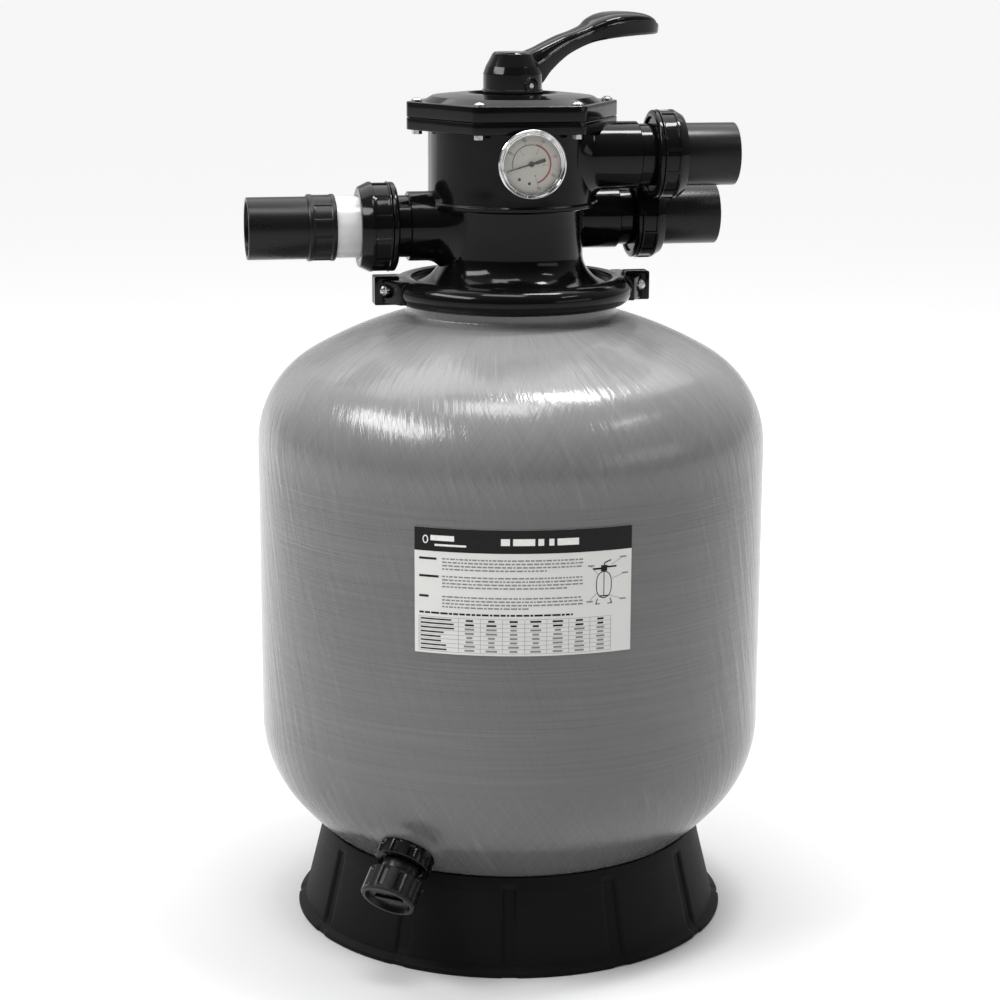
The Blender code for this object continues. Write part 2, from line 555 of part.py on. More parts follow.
def underdrain():
    """Diffuser, standpipe, hub and laterals inside the tank."""
    cup = piece("diffuser", turned([(0.0256, 0.5120), (0.0560, 0.5120), (0.0650, 0.5250),
                                    (0.0650, 0.5740), (0.0625, 0.5740), (0.0625, 0.5255),
                                    (0.0550, 0.5145), (0.0285, 0.5145), (0.0285, 0.5400),
                                    (0.0256, 0.5400)]), None, "white_plastic")
    for index in range(8):
        slot = sector(0.0600, 0.0700, 45 * index + 4, 45 * index + 34, 0.5300, 0.5560, 2)
        cut(cup, slot)
    piece("standpipe", tube(STANDPIPE_R, 0.0220, 0.0960, 0.6350), None, "white_plastic")
    hub = turned([(0, 0.0800), (0.0420, 0.0800), (0.0420, 0.1280), (0.0254, 0.1280),
                  (0.0254, 0.0950), (0.0200, 0.0950), (0.0200, 0.0880), (0, 0.0880)])
    hub = piece("lateral_hub", turned_by(hub, 180 / MEDIUM), None, "white_plastic")
    for index in range(LATERAL_COUNT):
        angle = math.tau * index / LATERAL_COUNT
        outward = (math.cos(angle), math.sin(angle), 0)
        socket = turned([(0, 0.015), (0.0070, 0.015), (0.0070, 0.034), (LATERAL_R + 0.0009, 0.034),
                         (LATERAL_R + 0.0009, 0.060), (0, 0.060)], LATERAL_SIDES)
        cut(hub, placed(socket, (0, 0, LATERAL_Z), outward))
        holder = frame(f"lateral_axis_{index + 1}", (0, 0, LATERAL_Z),
                       (0, 90, math.degrees(angle)))
        pipe = turned([(0, LATERAL_END - 0.003), (0.0096, LATERAL_END - 0.003), (0.0096, 0.0345),
                       (LATERAL_R, 0.0345), (LATERAL_R, LATERAL_END - 0.004),
                       (0.0090, LATERAL_END), (0, LATERAL_END)], LATERAL_SIDES)
        piece(f"lateral_{index + 1}", pipe, holder, "white_plastic")


def build():
    clear_scene()
    valve = frame("valve_axis", turn=(0, 0, VALVE_TURN))
    azimuth = math.radians(DRAIN_AZIMUTH)
    place = (DRAIN_R * math.sin(azimuth), -DRAIN_R * math.cos(azimuth), DRAIN_Z)
    drain = frame("drain_axis", place, (90 + DRAIN_TILT, 0, DRAIN_AZIMUTH))
    base_skirt()
    tank_shell(drain)
    rating_label()
    piece("neck_o_ring", o_ring(0.0860, 0.0038, 0.57285), None, "rubber")
    clamp(valve)
    valve_body(valve)
    lid(valve)
    rotor(valve)
    handle(valve)
    gauge(valve)
    ports(valve)
    drain_fitting(drain)
    underdrain()


build()
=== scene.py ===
"""Looks of the sand filter tank: fine meshes, finishes and a plain studio round the fixed frame.

Metres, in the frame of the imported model: origin on the floor on the tank's axis, -Y the front.
"""
from __future__ import annotations

import json
import logging
import math
import random
from dataclasses import dataclass, field
from enum import Enum
from typing import Callable, Iterable, Sequence

import bmesh
import bpy
from mathutils import Matrix, Vector, noise


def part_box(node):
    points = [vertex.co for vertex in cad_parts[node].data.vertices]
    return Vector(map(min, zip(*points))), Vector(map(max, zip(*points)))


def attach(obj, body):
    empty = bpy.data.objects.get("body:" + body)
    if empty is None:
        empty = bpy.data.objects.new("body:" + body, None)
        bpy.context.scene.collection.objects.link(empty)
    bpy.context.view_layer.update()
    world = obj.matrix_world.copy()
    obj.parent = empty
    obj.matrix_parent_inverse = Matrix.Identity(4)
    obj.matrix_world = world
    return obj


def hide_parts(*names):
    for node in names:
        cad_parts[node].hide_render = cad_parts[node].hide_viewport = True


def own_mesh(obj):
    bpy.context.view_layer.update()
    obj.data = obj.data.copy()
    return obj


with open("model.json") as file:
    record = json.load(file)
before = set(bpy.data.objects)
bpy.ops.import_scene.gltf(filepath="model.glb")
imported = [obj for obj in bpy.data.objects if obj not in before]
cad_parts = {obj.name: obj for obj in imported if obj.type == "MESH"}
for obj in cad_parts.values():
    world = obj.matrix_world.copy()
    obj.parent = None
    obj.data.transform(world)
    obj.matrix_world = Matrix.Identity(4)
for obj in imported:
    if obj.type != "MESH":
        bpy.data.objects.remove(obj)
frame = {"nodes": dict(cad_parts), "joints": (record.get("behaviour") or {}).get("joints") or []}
LOG = logging.getLogger("sand_filter")
Outline = Sequence[tuple[float, float]]
Relief = Callable[[float, float, float], float]


# ---------------------------------------------------------------- shader language


class Value:
    """One shader socket that takes part in sums written as plain Python."""

    def __init__(self, graph: Graph, socket: bpy.types.NodeSocket) -> None:
        """Keep the socket and the graph that new Math nodes go into."""
        self.graph = graph
        self.socket = socket

    def _math(self, operation: str, first: Input, second: Input) -> Value:
        """Add one Math node and return its result."""
        return self.graph.add("ShaderNodeMath", {"operation": operation}, {0: first, 1: second})

    def __add__(self, other: Input) -> Value:
        """self + other."""
        return self._math("ADD", self, other)

    def __sub__(self, other: Input) -> Value:
        """self - other."""
        return self._math("SUBTRACT", self, other)

    def __rsub__(self, other: Input) -> Value:
        """other - self."""
        return self._math("SUBTRACT", other, self)

    def __mul__(self, other: Input) -> Value:
        """self * other."""
        return self._math("MULTIPLY", self, other)

    __radd__ = __add__
    __rmul__ = __mul__


Input = Value | float | Sequence[float]


class Graph:
    """A node tree that is written as sums and calls."""

    def __init__(self, tree: bpy.types.NodeTree) -> None:
        """Take the tree that new nodes go into."""
        self.tree = tree

    def add(self, kind: str, settings: dict[str, object], inputs: dict[object, Input],
            output: int | str = 0) -> Value:
        """Add any node.

        Args:
            kind: the node's type.
            settings: properties of the node, set before its sockets; "stops" fills a ramp.
            inputs: values or links, by the socket's name or number.
            output: the socket to return.

        Returns:
            The chosen output.
        """
        node = self.tree.nodes.new(kind)
        for name, value in settings.items():
            if name == "stops":
                self._stops(node.color_ramp, value)
            else:
                setattr(node, name, value)
        for name, value in inputs.items():
            self.feed(node.inputs[name], value)
        return Value(self, node.outputs[output])

    def feed(self, socket: bpy.types.NodeSocket, value: Input) -> None:
        """Link a Value to a socket, or set its constant.

        Args:
            socket: the socket to set.
            value: a link, number or vector.
        """
        if isinstance(value, Value):
            self.tree.links.new(value.socket, socket)
        else:
            socket.default_value = value

    @staticmethod
    def _stops(ramp: bpy.types.ColorRamp, stops: Sequence[tuple[float, float]]) -> None:
        """Give a ramp grey stops, each a place and a brightness.

        Args:
            ramp: the colour ramp.
            stops: place and brightness of each stop.
        """
        for index, (place, grey) in enumerate(stops):
            stop = ramp.elements[index] if index < 2 else ramp.elements.new(place)
            stop.position = place
            stop.color = (grey, grey, grey, 1.0)

    def place(self) -> Value:
        """The point on the object, in metres in the object's own frame."""
        return self.add("ShaderNodeTexCoord", {}, {}, "Object")

    def stretched(self, x: float, y: float, z: float) -> Value:
        """The object's own point with each axis scaled."""
        return self.add("ShaderNodeVectorMath", {"operation": "MULTIPLY"},
                        {0: self.place(), 1: (x, y, z)})

    def noise(self, vector: Value, scale: float, detail: float = 2.0) -> Value:
        """Soft noise from 0 to 1 over a vector."""
        return self.add("ShaderNodeTexNoise", {},
                        {"Vector": vector, "Scale": scale, "Detail": detail, "Roughness": 0.55})

    def ramp(self, value: Value, *stops: tuple[float, float]) -> Value:
        """Map a value through grey stops."""
        return self.add("ShaderNodeValToRGB", {"stops": stops}, {"Fac": value})

    def mix(self, factor: Input, first: Input, second: Input) -> Value:
        """Blend two colours."""
        return self.add("ShaderNodeMix", {"data_type": "RGBA"}, {0: factor, 6: first, 7: second}, 2)

    def bump(self, height: Value, distance: float, strength: float = 1.0,
             normal: Value | None = None) -> Value:
        """Turn a height into a normal; distance is the relief in metres.

        Args:
            height: the height field.
            distance: relief in metres.
            strength: share of the effect.
            normal: a normal to add to.

        Returns:
            The normal.
        """
        inputs = {"Height": height, "Distance": distance, "Strength": strength}
        if normal:
            inputs["Normal"] = normal
        return self.add("ShaderNodeBump", {}, inputs)


class Coating(Graph):
    """The node tree of one material, with its Principled shader."""

    def __init__(self, name: str) -> None:
        """Start an empty material with a Principled shader and its output.

        Args:
            name: the material's name.
        """
        self.material = bpy.data.materials.new(name)
        self.material.use_nodes = True
        super().__init__(self.material.node_tree)
        self.tree.nodes.clear()
        self.shader = self.tree.nodes.new("ShaderNodeBsdfPrincipled")
        output = self.tree.nodes.new("ShaderNodeOutputMaterial")
        self.tree.links.new(self.shader.outputs["BSDF"], output.inputs["Surface"])

    def finished(self, **inputs: Input) -> bpy.types.Material:
        """Set the shader's own sockets and return the finished material.

        Args:
            inputs: sockets of the shader, with _ for a space.

        Returns:
            The material.
        """
        for name, value in inputs.items():
            self.feed(self.shader.inputs[name.replace("_", " ")], value)
        return self.material


def grey(level: float, warm: float = 0.0) -> tuple[float, float, float, float]:
    """An opaque grey, with a little more red than blue when warm."""
    return (level + warm, level, level - warm, 1.0)


def toned(colour: Sequence[float], share: float = 1.0) -> tuple[float, ...]:
    """An opaque colour, darkened or lightened by a share."""
    return (*(part * share for part in colour), 1.0)


# ---------------------------------------------------------------- finishes


class Slot(Enum):
    """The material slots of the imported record."""

    FIBREGLASS = "wound_fibreglass"
    BASE = "base_plastic"
    GLOSS = "gloss_black_plastic"
    SATIN = "satin_black_plastic"
    LABEL = "label_film"
    ZINC = "zinc_steel"
    RUBBER = "seal_rubber"
    WHITE = "white_plastic"
    CHROME = "bezel_chrome"
    DIAL = "dial_face"
    NEEDLE = "needle_black"
    LENS = "clear_lens"


@dataclass(frozen=True)
class Plastic:
    """Moulded plastic: slow flow marks, a fine skin, and dust or scuffs that dull it in places."""

    name: str
    colour: tuple[float, float, float]
    roughness: float
    mottle: float = 0.25
    spread: float = 0.06
    skin: float = 0.00002
    skin_scale: float = 500.0
    waviness: float = 0.0
    dust: float = 0.0
    coat: float = 0.0
    specular: float = 0.22
    flow_scale: float = 16.0
    wave_scale: float = 38.0
    dust_scale: float = 900.0
    dust_tone: float = 0.12
    dust_roughness: float = 0.15

    def material(self) -> bpy.types.Material:
        """Build the material.

        Returns:
            The material.
        """
        graph = Coating(self.name)
        place = graph.place()
        flow = graph.noise(place, self.flow_scale, 4.0)
        base = graph.mix(flow, toned(self.colour, 1 - self.mottle), toned(self.colour, 1 + self.mottle))
        rough = flow * self.spread + (self.roughness - self.spread / 2)
        if self.dust:
            specks = graph.ramp(graph.noise(place, self.dust_scale, 3.0), (0.56, 0.0), (0.74, 1.0))
            base = graph.mix(specks * self.dust, base, grey(self.dust_tone))
            rough = rough + specks * self.dust_roughness
        normal = graph.bump(graph.noise(place, self.skin_scale, 2.0), self.skin)
        if self.waviness:
            waves = graph.noise(place, self.wave_scale, 1.0)
            normal = graph.bump(waves, self.waviness, normal=normal)
        return graph.finished(Base_Color=base, Roughness=rough, Normal=normal, Coat_Weight=self.coat,
                              Specular_IOR_Level=self.specular)


@dataclass(frozen=True)
class Metal:
    """Plated metal with fine drawn lines along one axis and a few dull spots."""

    name: str
    colour: tuple[float, float, float]
    roughness: float
    lines: tuple[float, float, float] = (1200.0, 1200.0, 60.0)
    relief: float = 0.00002
    spread: float = 0.12
    spot_scale: float = 220.0
    worn: float = 0.62

    def material(self) -> bpy.types.Material:
        """Build the material.

        Returns:
            The material.
        """
        graph = Coating(self.name)
        drawn = graph.noise(graph.stretched(*self.lines), 1.0, 2.0)
        spots = graph.noise(graph.place(), self.spot_scale, 3.0)
        base = graph.mix(graph.ramp(spots, (0.50, 0.0), (0.72, 1.0)), toned(self.colour),
                         toned(self.colour, self.worn))
        return graph.finished(Base_Color=base, Metallic=1.0,
                              Roughness=drawn * self.spread + self.roughness,
                              Normal=graph.bump(drawn, self.relief))


@dataclass(frozen=True)
class WoundFibreglass:
    """Grey tank wall: hoop windings round the side, crossing strands over the domes, clear gel coat, and a
    painted light that lightens the upper domes.
    """

    name: str = "wound_fibreglass_gloss"
    light: float = 0.162
    dark: float = 0.088
    # dome: the lighter grey that the upper domes are painted towards, a painted light from above
    dome: float = 0.320
    smudge: float = 0.062
    side_bottom: float = 0.185
    side_top: float = 0.4215
    neck_height: float = 0.560
    weave_lean: float = 3.2
    rising_fineness: float = 120.0
    falling_fineness: float = 95.0
    streak_lean: float = 1.4
    streak_fineness: float = 30.0
    strand_climb: float = 14.0
    roughness: float = 0.10
    weave_relief: float = 0.00040
    streak_relief: float = 0.0016
    cloud_relief: float = 0.0040

    def strands(self, graph: Graph, lean: float, fineness: float) -> Value:
        """Noise in long streaks that climb the tank at a lean, without a seam round the back.

        Args:
            graph: the material's graph.
            lean: turn round the axis for each metre of height, in radians.
            fineness: streaks in one radian.

        Returns:
            The noise, 0 to 1.
        """
        place = graph.place()
        x = graph.add("ShaderNodeSeparateXYZ", {}, {0: place}, "X")
        y = graph.add("ShaderNodeSeparateXYZ", {}, {0: place}, "Y")
        z = graph.add("ShaderNodeSeparateXYZ", {}, {0: place}, "Z")
        angle = graph.add("ShaderNodeMath", {"operation": "ARCTAN2"}, {0: y, 1: x}) + z * lean
        cosine = graph.add("ShaderNodeMath", {"operation": "COSINE"}, {0: angle})
        sine = graph.add("ShaderNodeMath", {"operation": "SINE"}, {0: angle})
        vector = graph.add("ShaderNodeCombineXYZ", {},
                           {0: cosine * fineness, 1: sine * fineness, 2: z * self.strand_climb})
        return graph.noise(vector, 1.0, 3.0)

    def material(self) -> bpy.types.Material:
        """Build the material.

        Returns:
            The material.
        """
        graph = Coating(self.name)
        place = graph.place()
        height = graph.add("ShaderNodeSeparateXYZ", {}, {0: place}, "Z")
        hoops = graph.noise(graph.stretched(5.0, 5.0, 620.0), 1.0, 3.0)
        broad_hoops = graph.noise(graph.stretched(2.0, 2.0, 90.0), 1.0, 2.0)
        rising = self.strands(graph, self.weave_lean, self.rising_fineness)
        falling = self.strands(graph, -self.weave_lean, self.falling_fineness)
        long_streaks = self.strands(graph, self.streak_lean, self.streak_fineness)
        in_side = self.band(graph, height)
        crossing = rising * 0.5 + falling * 0.5
        weave = graph.mix(in_side, crossing, hoops)
        cloud = graph.noise(place, 5.5, 4.0)
        tone = graph.mix(weave, grey(self.dark), grey(self.light, 0.001))
        tone = graph.mix(graph.ramp(broad_hoops, (0.35, 0.0), (0.65, 1.0)) * in_side * 0.22,
                         tone, grey(self.dark))
        streaky = graph.ramp(long_streaks, (0.56, 0.0), (0.72, 1.0))
        tone = graph.mix(streaky * (1 - in_side) * 0.30, tone, grey(self.light * 1.25))
        # Painted light: the upper domes are lightened towards the dome grey, most near the neck, as if lit
        # from above.
        painted_dome_light = graph.ramp(height, (self.side_top, 0.0), (self.neck_height - 0.03, 0.65))
        tone = graph.mix(painted_dome_light * (weave * 0.4 + 0.6), tone, grey(self.dome))
        near_neck = graph.ramp(height, (self.neck_height - 0.075, 0.0), (self.neck_height, 1.0))
        smudges = graph.ramp(cloud, (0.47, 0.0), (0.66, 1.0))
        tone = graph.mix(smudges * (near_neck * 0.55 + 0.16), tone, grey(self.smudge))
        rough = weave * 0.10 + cloud * 0.06 + self.roughness
        normal = graph.bump(weave, self.weave_relief, 0.90)
        normal = graph.bump(long_streaks, self.streak_relief, 0.55, normal)
        normal = graph.bump(cloud, self.cloud_relief, 0.25, normal)
        return graph.finished(Base_Color=tone, Roughness=rough, Normal=normal,
                              Coat_Weight=0.16, Coat_Roughness=0.09)

    def band(self, graph: Graph, height: Value) -> Value:
        """1 over the straight side, 0 over the domes.

        Args:
            graph: the material's graph.
            height: height on the tank.

        Returns:
            The mask.
        """
        above = graph.ramp(height, (self.side_bottom - 0.02, 0.0), (self.side_bottom, 1.0))
        below = graph.ramp(height, (self.side_top, 1.0), (self.side_top + 0.004, 0.0))
        return above * below


@dataclass(frozen=True)
class Clear:
    """Clear or milky plastic."""

    name: str
    colour: tuple[float, float, float]
    roughness: float
    transmission: float
    haze: float = 0.08
    milkiness: float = 0.86
    refraction: float = 1.49

    def material(self) -> bpy.types.Material:
        """Build the material.

        Returns:
            The material.
        """
        graph = Coating(self.name)
        haze = graph.noise(graph.place(), 60.0, 3.0)
        tone = graph.mix(haze, toned(self.colour, self.milkiness), toned(self.colour))
        return graph.finished(Base_Color=tone,
                              Roughness=haze * self.haze + self.roughness, IOR=self.refraction,
                              Transmission_Weight=self.transmission)


@dataclass(frozen=True)
class Print:
    """Flat ink with a slightly uneven lay-down."""

    name: str
    colour: tuple[float, float, float]
    roughness: float = 0.35
    specular: float = 0.16

    def material(self) -> bpy.types.Material:
        """Build the material.

        Returns:
            The material.
        """
        graph = Coating(self.name)
        lay = graph.noise(graph.place(), 700.0, 2.0)
        thin = (*(min(1.0, part * 1.25 + 0.01) for part in self.colour), 1.0)
        return graph.finished(Base_Color=graph.mix(lay, toned(self.colour), thin),
                              Roughness=lay * 0.10 + self.roughness,
                              Specular_IOR_Level=self.specular)


Finish = Plastic | Metal | WoundFibreglass | Clear | Print

TANK_WALL = WoundFibreglass()
GLOSS = Plastic("abs_gloss_black", (0.0036, 0.0036, 0.0038), 0.11, 0.3, 0.05, 0.000008, 260.0, 0.00030,
                specular=0.19)
SATIN = Plastic("pvc_satin_black", (0.0060, 0.0060, 0.0063), 0.28, 0.3, 0.08, 0.00002, 900.0, 0.0, 0.04)
BASE = Plastic("base_matte_black", (0.0058, 0.0058, 0.0057), 0.56, 0.3, 0.10, 0.00008, 700.0, 0.0003, 0.05,
               specular=0.12)
WHITE = Plastic("white_moulded", (0.62, 0.62, 0.59), 0.42, 0.06, 0.06, 0.00003, 500.0)
RUBBER = Plastic("seal_rubber_black", (0.012, 0.012, 0.012), 0.72, 0.2, 0.08, 0.00005, 1200.0, 0.0, 0.1)
FILM = Plastic("label_film_white", (0.70, 0.70, 0.68), 0.36, 0.03, 0.06, 0.00002, 400.0, 0.0002)
ZINC = Metal("zinc_plate", (0.56, 0.56, 0.54), 0.22)
CHROME = Metal("bezel_chrome_plate", (0.60, 0.60, 0.60), 0.09, (300.0, 300.0, 300.0), 0.000006)
STEEL = Metal("spring_steel_wire", (0.45, 0.45, 0.45), 0.28)
DIAL = Plastic("dial_enamel", (0.88, 0.86, 0.77), 0.45, 0.03, 0.05, 0.00001, 300.0)
NEEDLE = Plastic("needle_enamel", (0.010, 0.010, 0.010), 0.40, 0.2, 0.05, 0.00001, 300.0)
LENS = Clear("lens_clear", (0.97, 0.97, 0.97), 0.01, 1.0)
SIGHT = Clear("sight_milky", (0.96, 0.97, 0.96), 0.10, 0.52)
INK_BLACK = Print("ink_black", (0.004, 0.004, 0.004), 0.34)
INK_GREY = Print("ink_grey", (0.20, 0.20, 0.20))
INK_PALE = Print("ink_pale", (0.70, 0.70, 0.68))
INK_RED = Print("ink_red", (0.42, 0.020, 0.018))

_made: dict[str, bpy.types.Material] = {}


def dressed(obj: bpy.types.Object, finish: Finish) -> bpy.types.Object:
    """Give an object one finish, built the first time it is used.

    Args:
        obj: the object.
        finish: its finish.

    Returns:
        The same object.
    """
    if finish.name not in _made:
        _made[finish.name] = finish.material()
    obj.data.materials.clear()
    obj.data.materials.append(_made[finish.name])
    return obj


# ---------------------------------------------------------------- outlines and shapes


def arc(centre_r: float, centre_z: float, radius: float, start: float, end: float,
        count: int = 12) -> list[tuple[float, float]]:
    """Points along an arc; angles in degrees."""
    angles = [math.radians(start + (end - start) * step / count) for step in range(count + 1)]
    return [(centre_r + radius * math.cos(a), centre_z + radius * math.sin(a)) for a in angles]


def circle(radius: float, sides: int) -> list[tuple[float, float]]:
    """Points round a circle, from the X axis."""
    return arc(0, 0, radius, 0, 360, sides)[:-1]


def eased(corners: Iterable[Sequence[float]], closed: bool = False, steps: int = 4) -> list:
    """Turn an outline's corners into small arcs.

    Args:
        corners: points (r, z) or (r, z, radius of the corner).
        closed: whether the last point joins the first.
        steps: segments in each corner.

    Returns:
        The finished points.
    """
    corners = list(corners)
    points = []
    for index, corner in enumerate(corners):
        here = Vector(corner[:2])
        ends = not closed and index in (0, len(corners) - 1)
        if len(corner) < 3 or not corner[2] or ends:
            points.append((here.x, here.y))
            continue
        before = Vector(corners[index - 1][:2]) - here
        after = Vector(corners[(index + 1) % len(corners)][:2]) - here
        half = before.angle(after) / 2
        reach = min(corner[2] / math.tan(half), before.length * 0.49, after.length * 0.49)
        towards = (before.normalized() + after.normalized()).normalized()
        centre = here + towards * (reach / math.cos(half))
        first = here + before.normalized() * reach - centre
        sweep = -first.angle_signed(here + after.normalized() * reach - centre)
        for step in range(steps + 1):
            turn = sweep * step / steps
            points.append((centre.x + first.x * math.cos(turn) - first.y * math.sin(turn),
                           centre.y + first.x * math.sin(turn) + first.y * math.cos(turn)))
    return points


def spread(stations: Sequence[Sequence[float]], between: int) -> list[list[float]]:
    """Pass a smooth curve through rows of numbers, with steps between each two.

    Args:
        stations: the rows, in order.
        between: steps between two rows.

    Returns:
        All the rows, old and new.
    """
    rows = []
    last = len(stations) - 1
    for index in range(last):
        p0, p1 = stations[max(index - 1, 0)], stations[index]
        p2, p3 = stations[index + 1], stations[min(index + 2, last)]
        for step in range(between):
            t = step / between
            rows.append([0.5 * (2 * b + (c - a) * t + (2 * a - 5 * b + 4 * c - d) * t * t
                                + (3 * b - a - 3 * c + d) * t ** 3)
                         for a, b, c, d in zip(p0, p1, p2, p3)])
    rows.append(list(stations[last]))
    return rows


def step_up(value: float, low: float, high: float) -> float:
    """0 below low, 1 above high, and smooth between."""
    share = min(1.0, max(0.0, (value - low) / (high - low)))
    return share * share * (3 - 2 * share)


class Meet(Enum):
    """Ways to combine two solids."""

    CUT = "DIFFERENCE"
    JOIN = "UNION"
    SHARE = "INTERSECT"


class Shape:
    """A closed mesh in the making."""

    def __init__(self, mesh: bmesh.types.BMesh) -> None:
        """Take a bmesh and point its faces outwards."""
        bmesh.ops.recalc_face_normals(mesh, faces=mesh.faces)
        self.mesh = mesh

    @classmethod
    def lofted(cls, rings: Sequence[Sequence[Sequence[float]]], looped: bool = False) -> Shape:
        """Bridge rings of points, with end caps unless the last meets the first.

        Args:
            rings: rings with the same number of points.
            looped: whether the last ring joins the first.

        Returns:
            The solid.
        """
        mesh = bmesh.new()
        loops = [[mesh.verts.new(point) for point in ring] for ring in rings]
        followers = loops[1:] + ([loops[0]] if looped else [])
        for here, there in zip(loops, followers):
            for index in range(len(here)):
                mesh.faces.new((here[index - 1], here[index], there[index], there[index - 1]))
        if not looped:
            mesh.faces.new(loops[0])
            mesh.faces.new(loops[-1])
        return cls(mesh)

    @classmethod
    def turned(cls, profile: Outline, steps: int = 72, relief: Relief | None = None) -> Shape:
        """Spin a profile of (r, z) about Z.

        Args:
            profile: points; it starts and ends on the axis, or closes on itself.
            steps: sides of the result.
            relief: gives a change of radius for an angle in degrees, a radius and a height.

        Returns:
            The solid.
        """
        mesh = bmesh.new()
        columns = []
        poles = {index: mesh.verts.new((0, 0, z)) for index, (r, z) in enumerate(profile) if r < 1e-9}
        for step in range(steps):
            degrees = 360.0 * step / steps
            turn = math.radians(degrees)
            column = []
            for index, (r, z) in enumerate(profile):
                if index in poles:
                    column.append(poles[index])
                    continue
                radius = r + (relief(degrees, r, z) if relief else 0.0)
                column.append(mesh.verts.new((radius * math.cos(turn), radius * math.sin(turn), z)))
            columns.append(column)
        closing = [] if poles else [(len(profile) - 1, 0)]
        pairs = [(index, index + 1) for index in range(len(profile) - 1)] + closing
        for number, column in enumerate(columns):
            before = columns[number - 1]
            for low, high in pairs:
                corners = (before[low], column[low], column[high], before[high])
                face = [corner for place, corner in enumerate(corners) if corner not in corners[:place]]
                if len(face) > 2:
                    mesh.faces.new(face)
        return cls(mesh)

    @classmethod
    def swept(cls, profile: Outline, start: float, end: float, steps: int) -> Shape:
        """Carry a closed (r, z) profile about Z between two angles in degrees.

        Args:
            profile: points (r, z).
            start: first angle.
            end: last angle.
            steps: segments on the way.

        Returns:
            The solid.
        """
        rings = []
        for step in range(steps + 1):
            turn = math.radians(start + (end - start) * step / steps)
            rings.append([(r * math.cos(turn), r * math.sin(turn), z) for r, z in profile])
        return cls.lofted(rings)

    @classmethod
    def prism(cls, outline: Outline, low: float, high: float, edge: float = 0.0) -> Shape:
        """Extrude an (x, y) outline along Z, with its rims eased by the size of edge.

        Args:
            outline: points (x, y), anticlockwise.
            low: lower face.
            high: upper face.
            edge: size of the eased rims.

        Returns:
            The solid.
        """
        if not edge:
            return cls.lofted([[(x, y, z) for x, y in outline] for z in (low, high)])
        rings = []
        for z, side in ((low, 1), (high, -1)):
            steps = [(edge * (1 - math.cos(a)), edge * (1 - math.sin(a)))
                     for a in (math.radians(turn) for turn in (0, 30, 60, 90))]
            made = [[(x, y, z + side * rise) for x, y in drawn_in(outline, inset)]
                    for rise, inset in steps]
            rings += made if side > 0 else made[::-1]
        return cls.lofted(rings)

    @classmethod
    def block(cls, low: Sequence[float], high: Sequence[float], edge: float = 0.0) -> Shape:
        """A box with eased edges."""
        outline = [(low[0], low[1]), (high[0], low[1]), (high[0], high[1]), (low[0], high[1])]
        return cls.prism(outline, low[2], high[2]).softened(edge)

    def softened(self, width: float, segments: int = 3, angle: float = 30.0) -> Shape:
        """Round every edge that is sharper than an angle.

        Args:
            width: size of the rounding.
            segments: steps across it.
            angle: the least angle that counts as sharp, in degrees.

        Returns:
            The same shape.
        """
        if width:
            sharp = [edge for edge in self.mesh.edges
                     if edge.is_manifold and edge.calc_face_angle() > math.radians(angle)]
            bmesh.ops.bevel(self.mesh, geom=sharp, offset=width, segments=segments, profile=0.5,
                            affect="EDGES", clamp_overlap=True)
        return self

    def moved(self, matrix: Matrix) -> Shape:
        """Transform by a 4x4 matrix."""
        bmesh.ops.transform(self.mesh, matrix=matrix, verts=self.mesh.verts)
        return self

    def shifted(self, x: float, y: float, z: float) -> Shape:
        """Move by a distance."""
        return self.moved(Matrix.Translation((x, y, z)))

    def turned_about_z(self, degrees: float) -> Shape:
        """Turn about Z."""
        return self.moved(Matrix.Rotation(math.radians(degrees), 4, "Z"))

    def along(self, axis: Sequence[float], offset: Sequence[float] = (0, 0, 0)) -> Shape:
        """Lay the shape's own Z along an axis, then move it."""
        turn = Vector((0, 0, 1)).rotation_difference(Vector(axis)).to_matrix().to_4x4()
        return self.moved(Matrix.Translation(offset) @ turn)

    def beside(self, *others: Shape) -> Shape:
        """Keep other shapes that don't touch this one in the same mesh.

        Args:
            others: the shapes to add.

        Returns:
            The same shape.
        """
        for other in others:
            data = bpy.data.meshes.new("beside")
            other.mesh.to_mesh(data)
            self.mesh.from_mesh(data)
            bpy.data.meshes.remove(data)
        return self

    def _as_object(self, name: str) -> bpy.types.Object:
        """Turn the bmesh into a scene object.

        Args:
            name: the object's name.

        Returns:
            The object; the bmesh is freed.
        """
        data = bpy.data.meshes.new(name)
        self.mesh.to_mesh(data)
        self.mesh.free()
        made = bpy.data.objects.new(name, data)
        bpy.context.scene.collection.objects.link(made)
        return made

    def combined(self, way: Meet, others: Iterable[Shape]) -> Shape:
        """Apply exact booleans with other shapes, one after another.

        Args:
            way: how the solids meet.
            others: the other solids, which are used up.

        Returns:
            The result.
        """
        target = self._as_object("target")
        tools = []
        for other in others:
            tool = other._as_object("tool")
            modifier = target.modifiers.new("combine", "BOOLEAN")
            modifier.operation = way.value
            modifier.solver = "EXACT"
            modifier.object = tool
            tools.append(tool)
        graph = bpy.context.evaluated_depsgraph_get()
        result = bpy.data.meshes.new_from_object(target.evaluated_get(graph))
        mesh = bmesh.new()
        mesh.from_mesh(result)
        for leftover in (target, *tools):
            data = leftover.data
            bpy.data.objects.remove(leftover)
            bpy.data.meshes.remove(data)
        bpy.data.meshes.remove(result)
        return Shape(mesh)

    def cut(self, *others: Shape) -> Shape:
        """Remove other shapes."""
        return self.combined(Meet.CUT, others)

    def joined(self, *others: Shape) -> Shape:
        """Fuse with other shapes."""
        return self.combined(Meet.JOIN, others)

    def placed(self, name: str, frame_of: Matrix, sharp: float = 32.0) -> bpy.types.Object:
        """Finish as a named, shaded object whose vertices lie in the scene's frame.

        Args:
            name: the object's name.
            frame_of: the frame that the shape was made in.
            sharp: edges above this angle are shaded sharp.

        Returns:
            The object.
        """
        self.moved(frame_of)
        made = self._as_object(name)
        made.data.shade_smooth()
        made.data.set_sharp_from_angle(angle=math.radians(sharp))
        return made


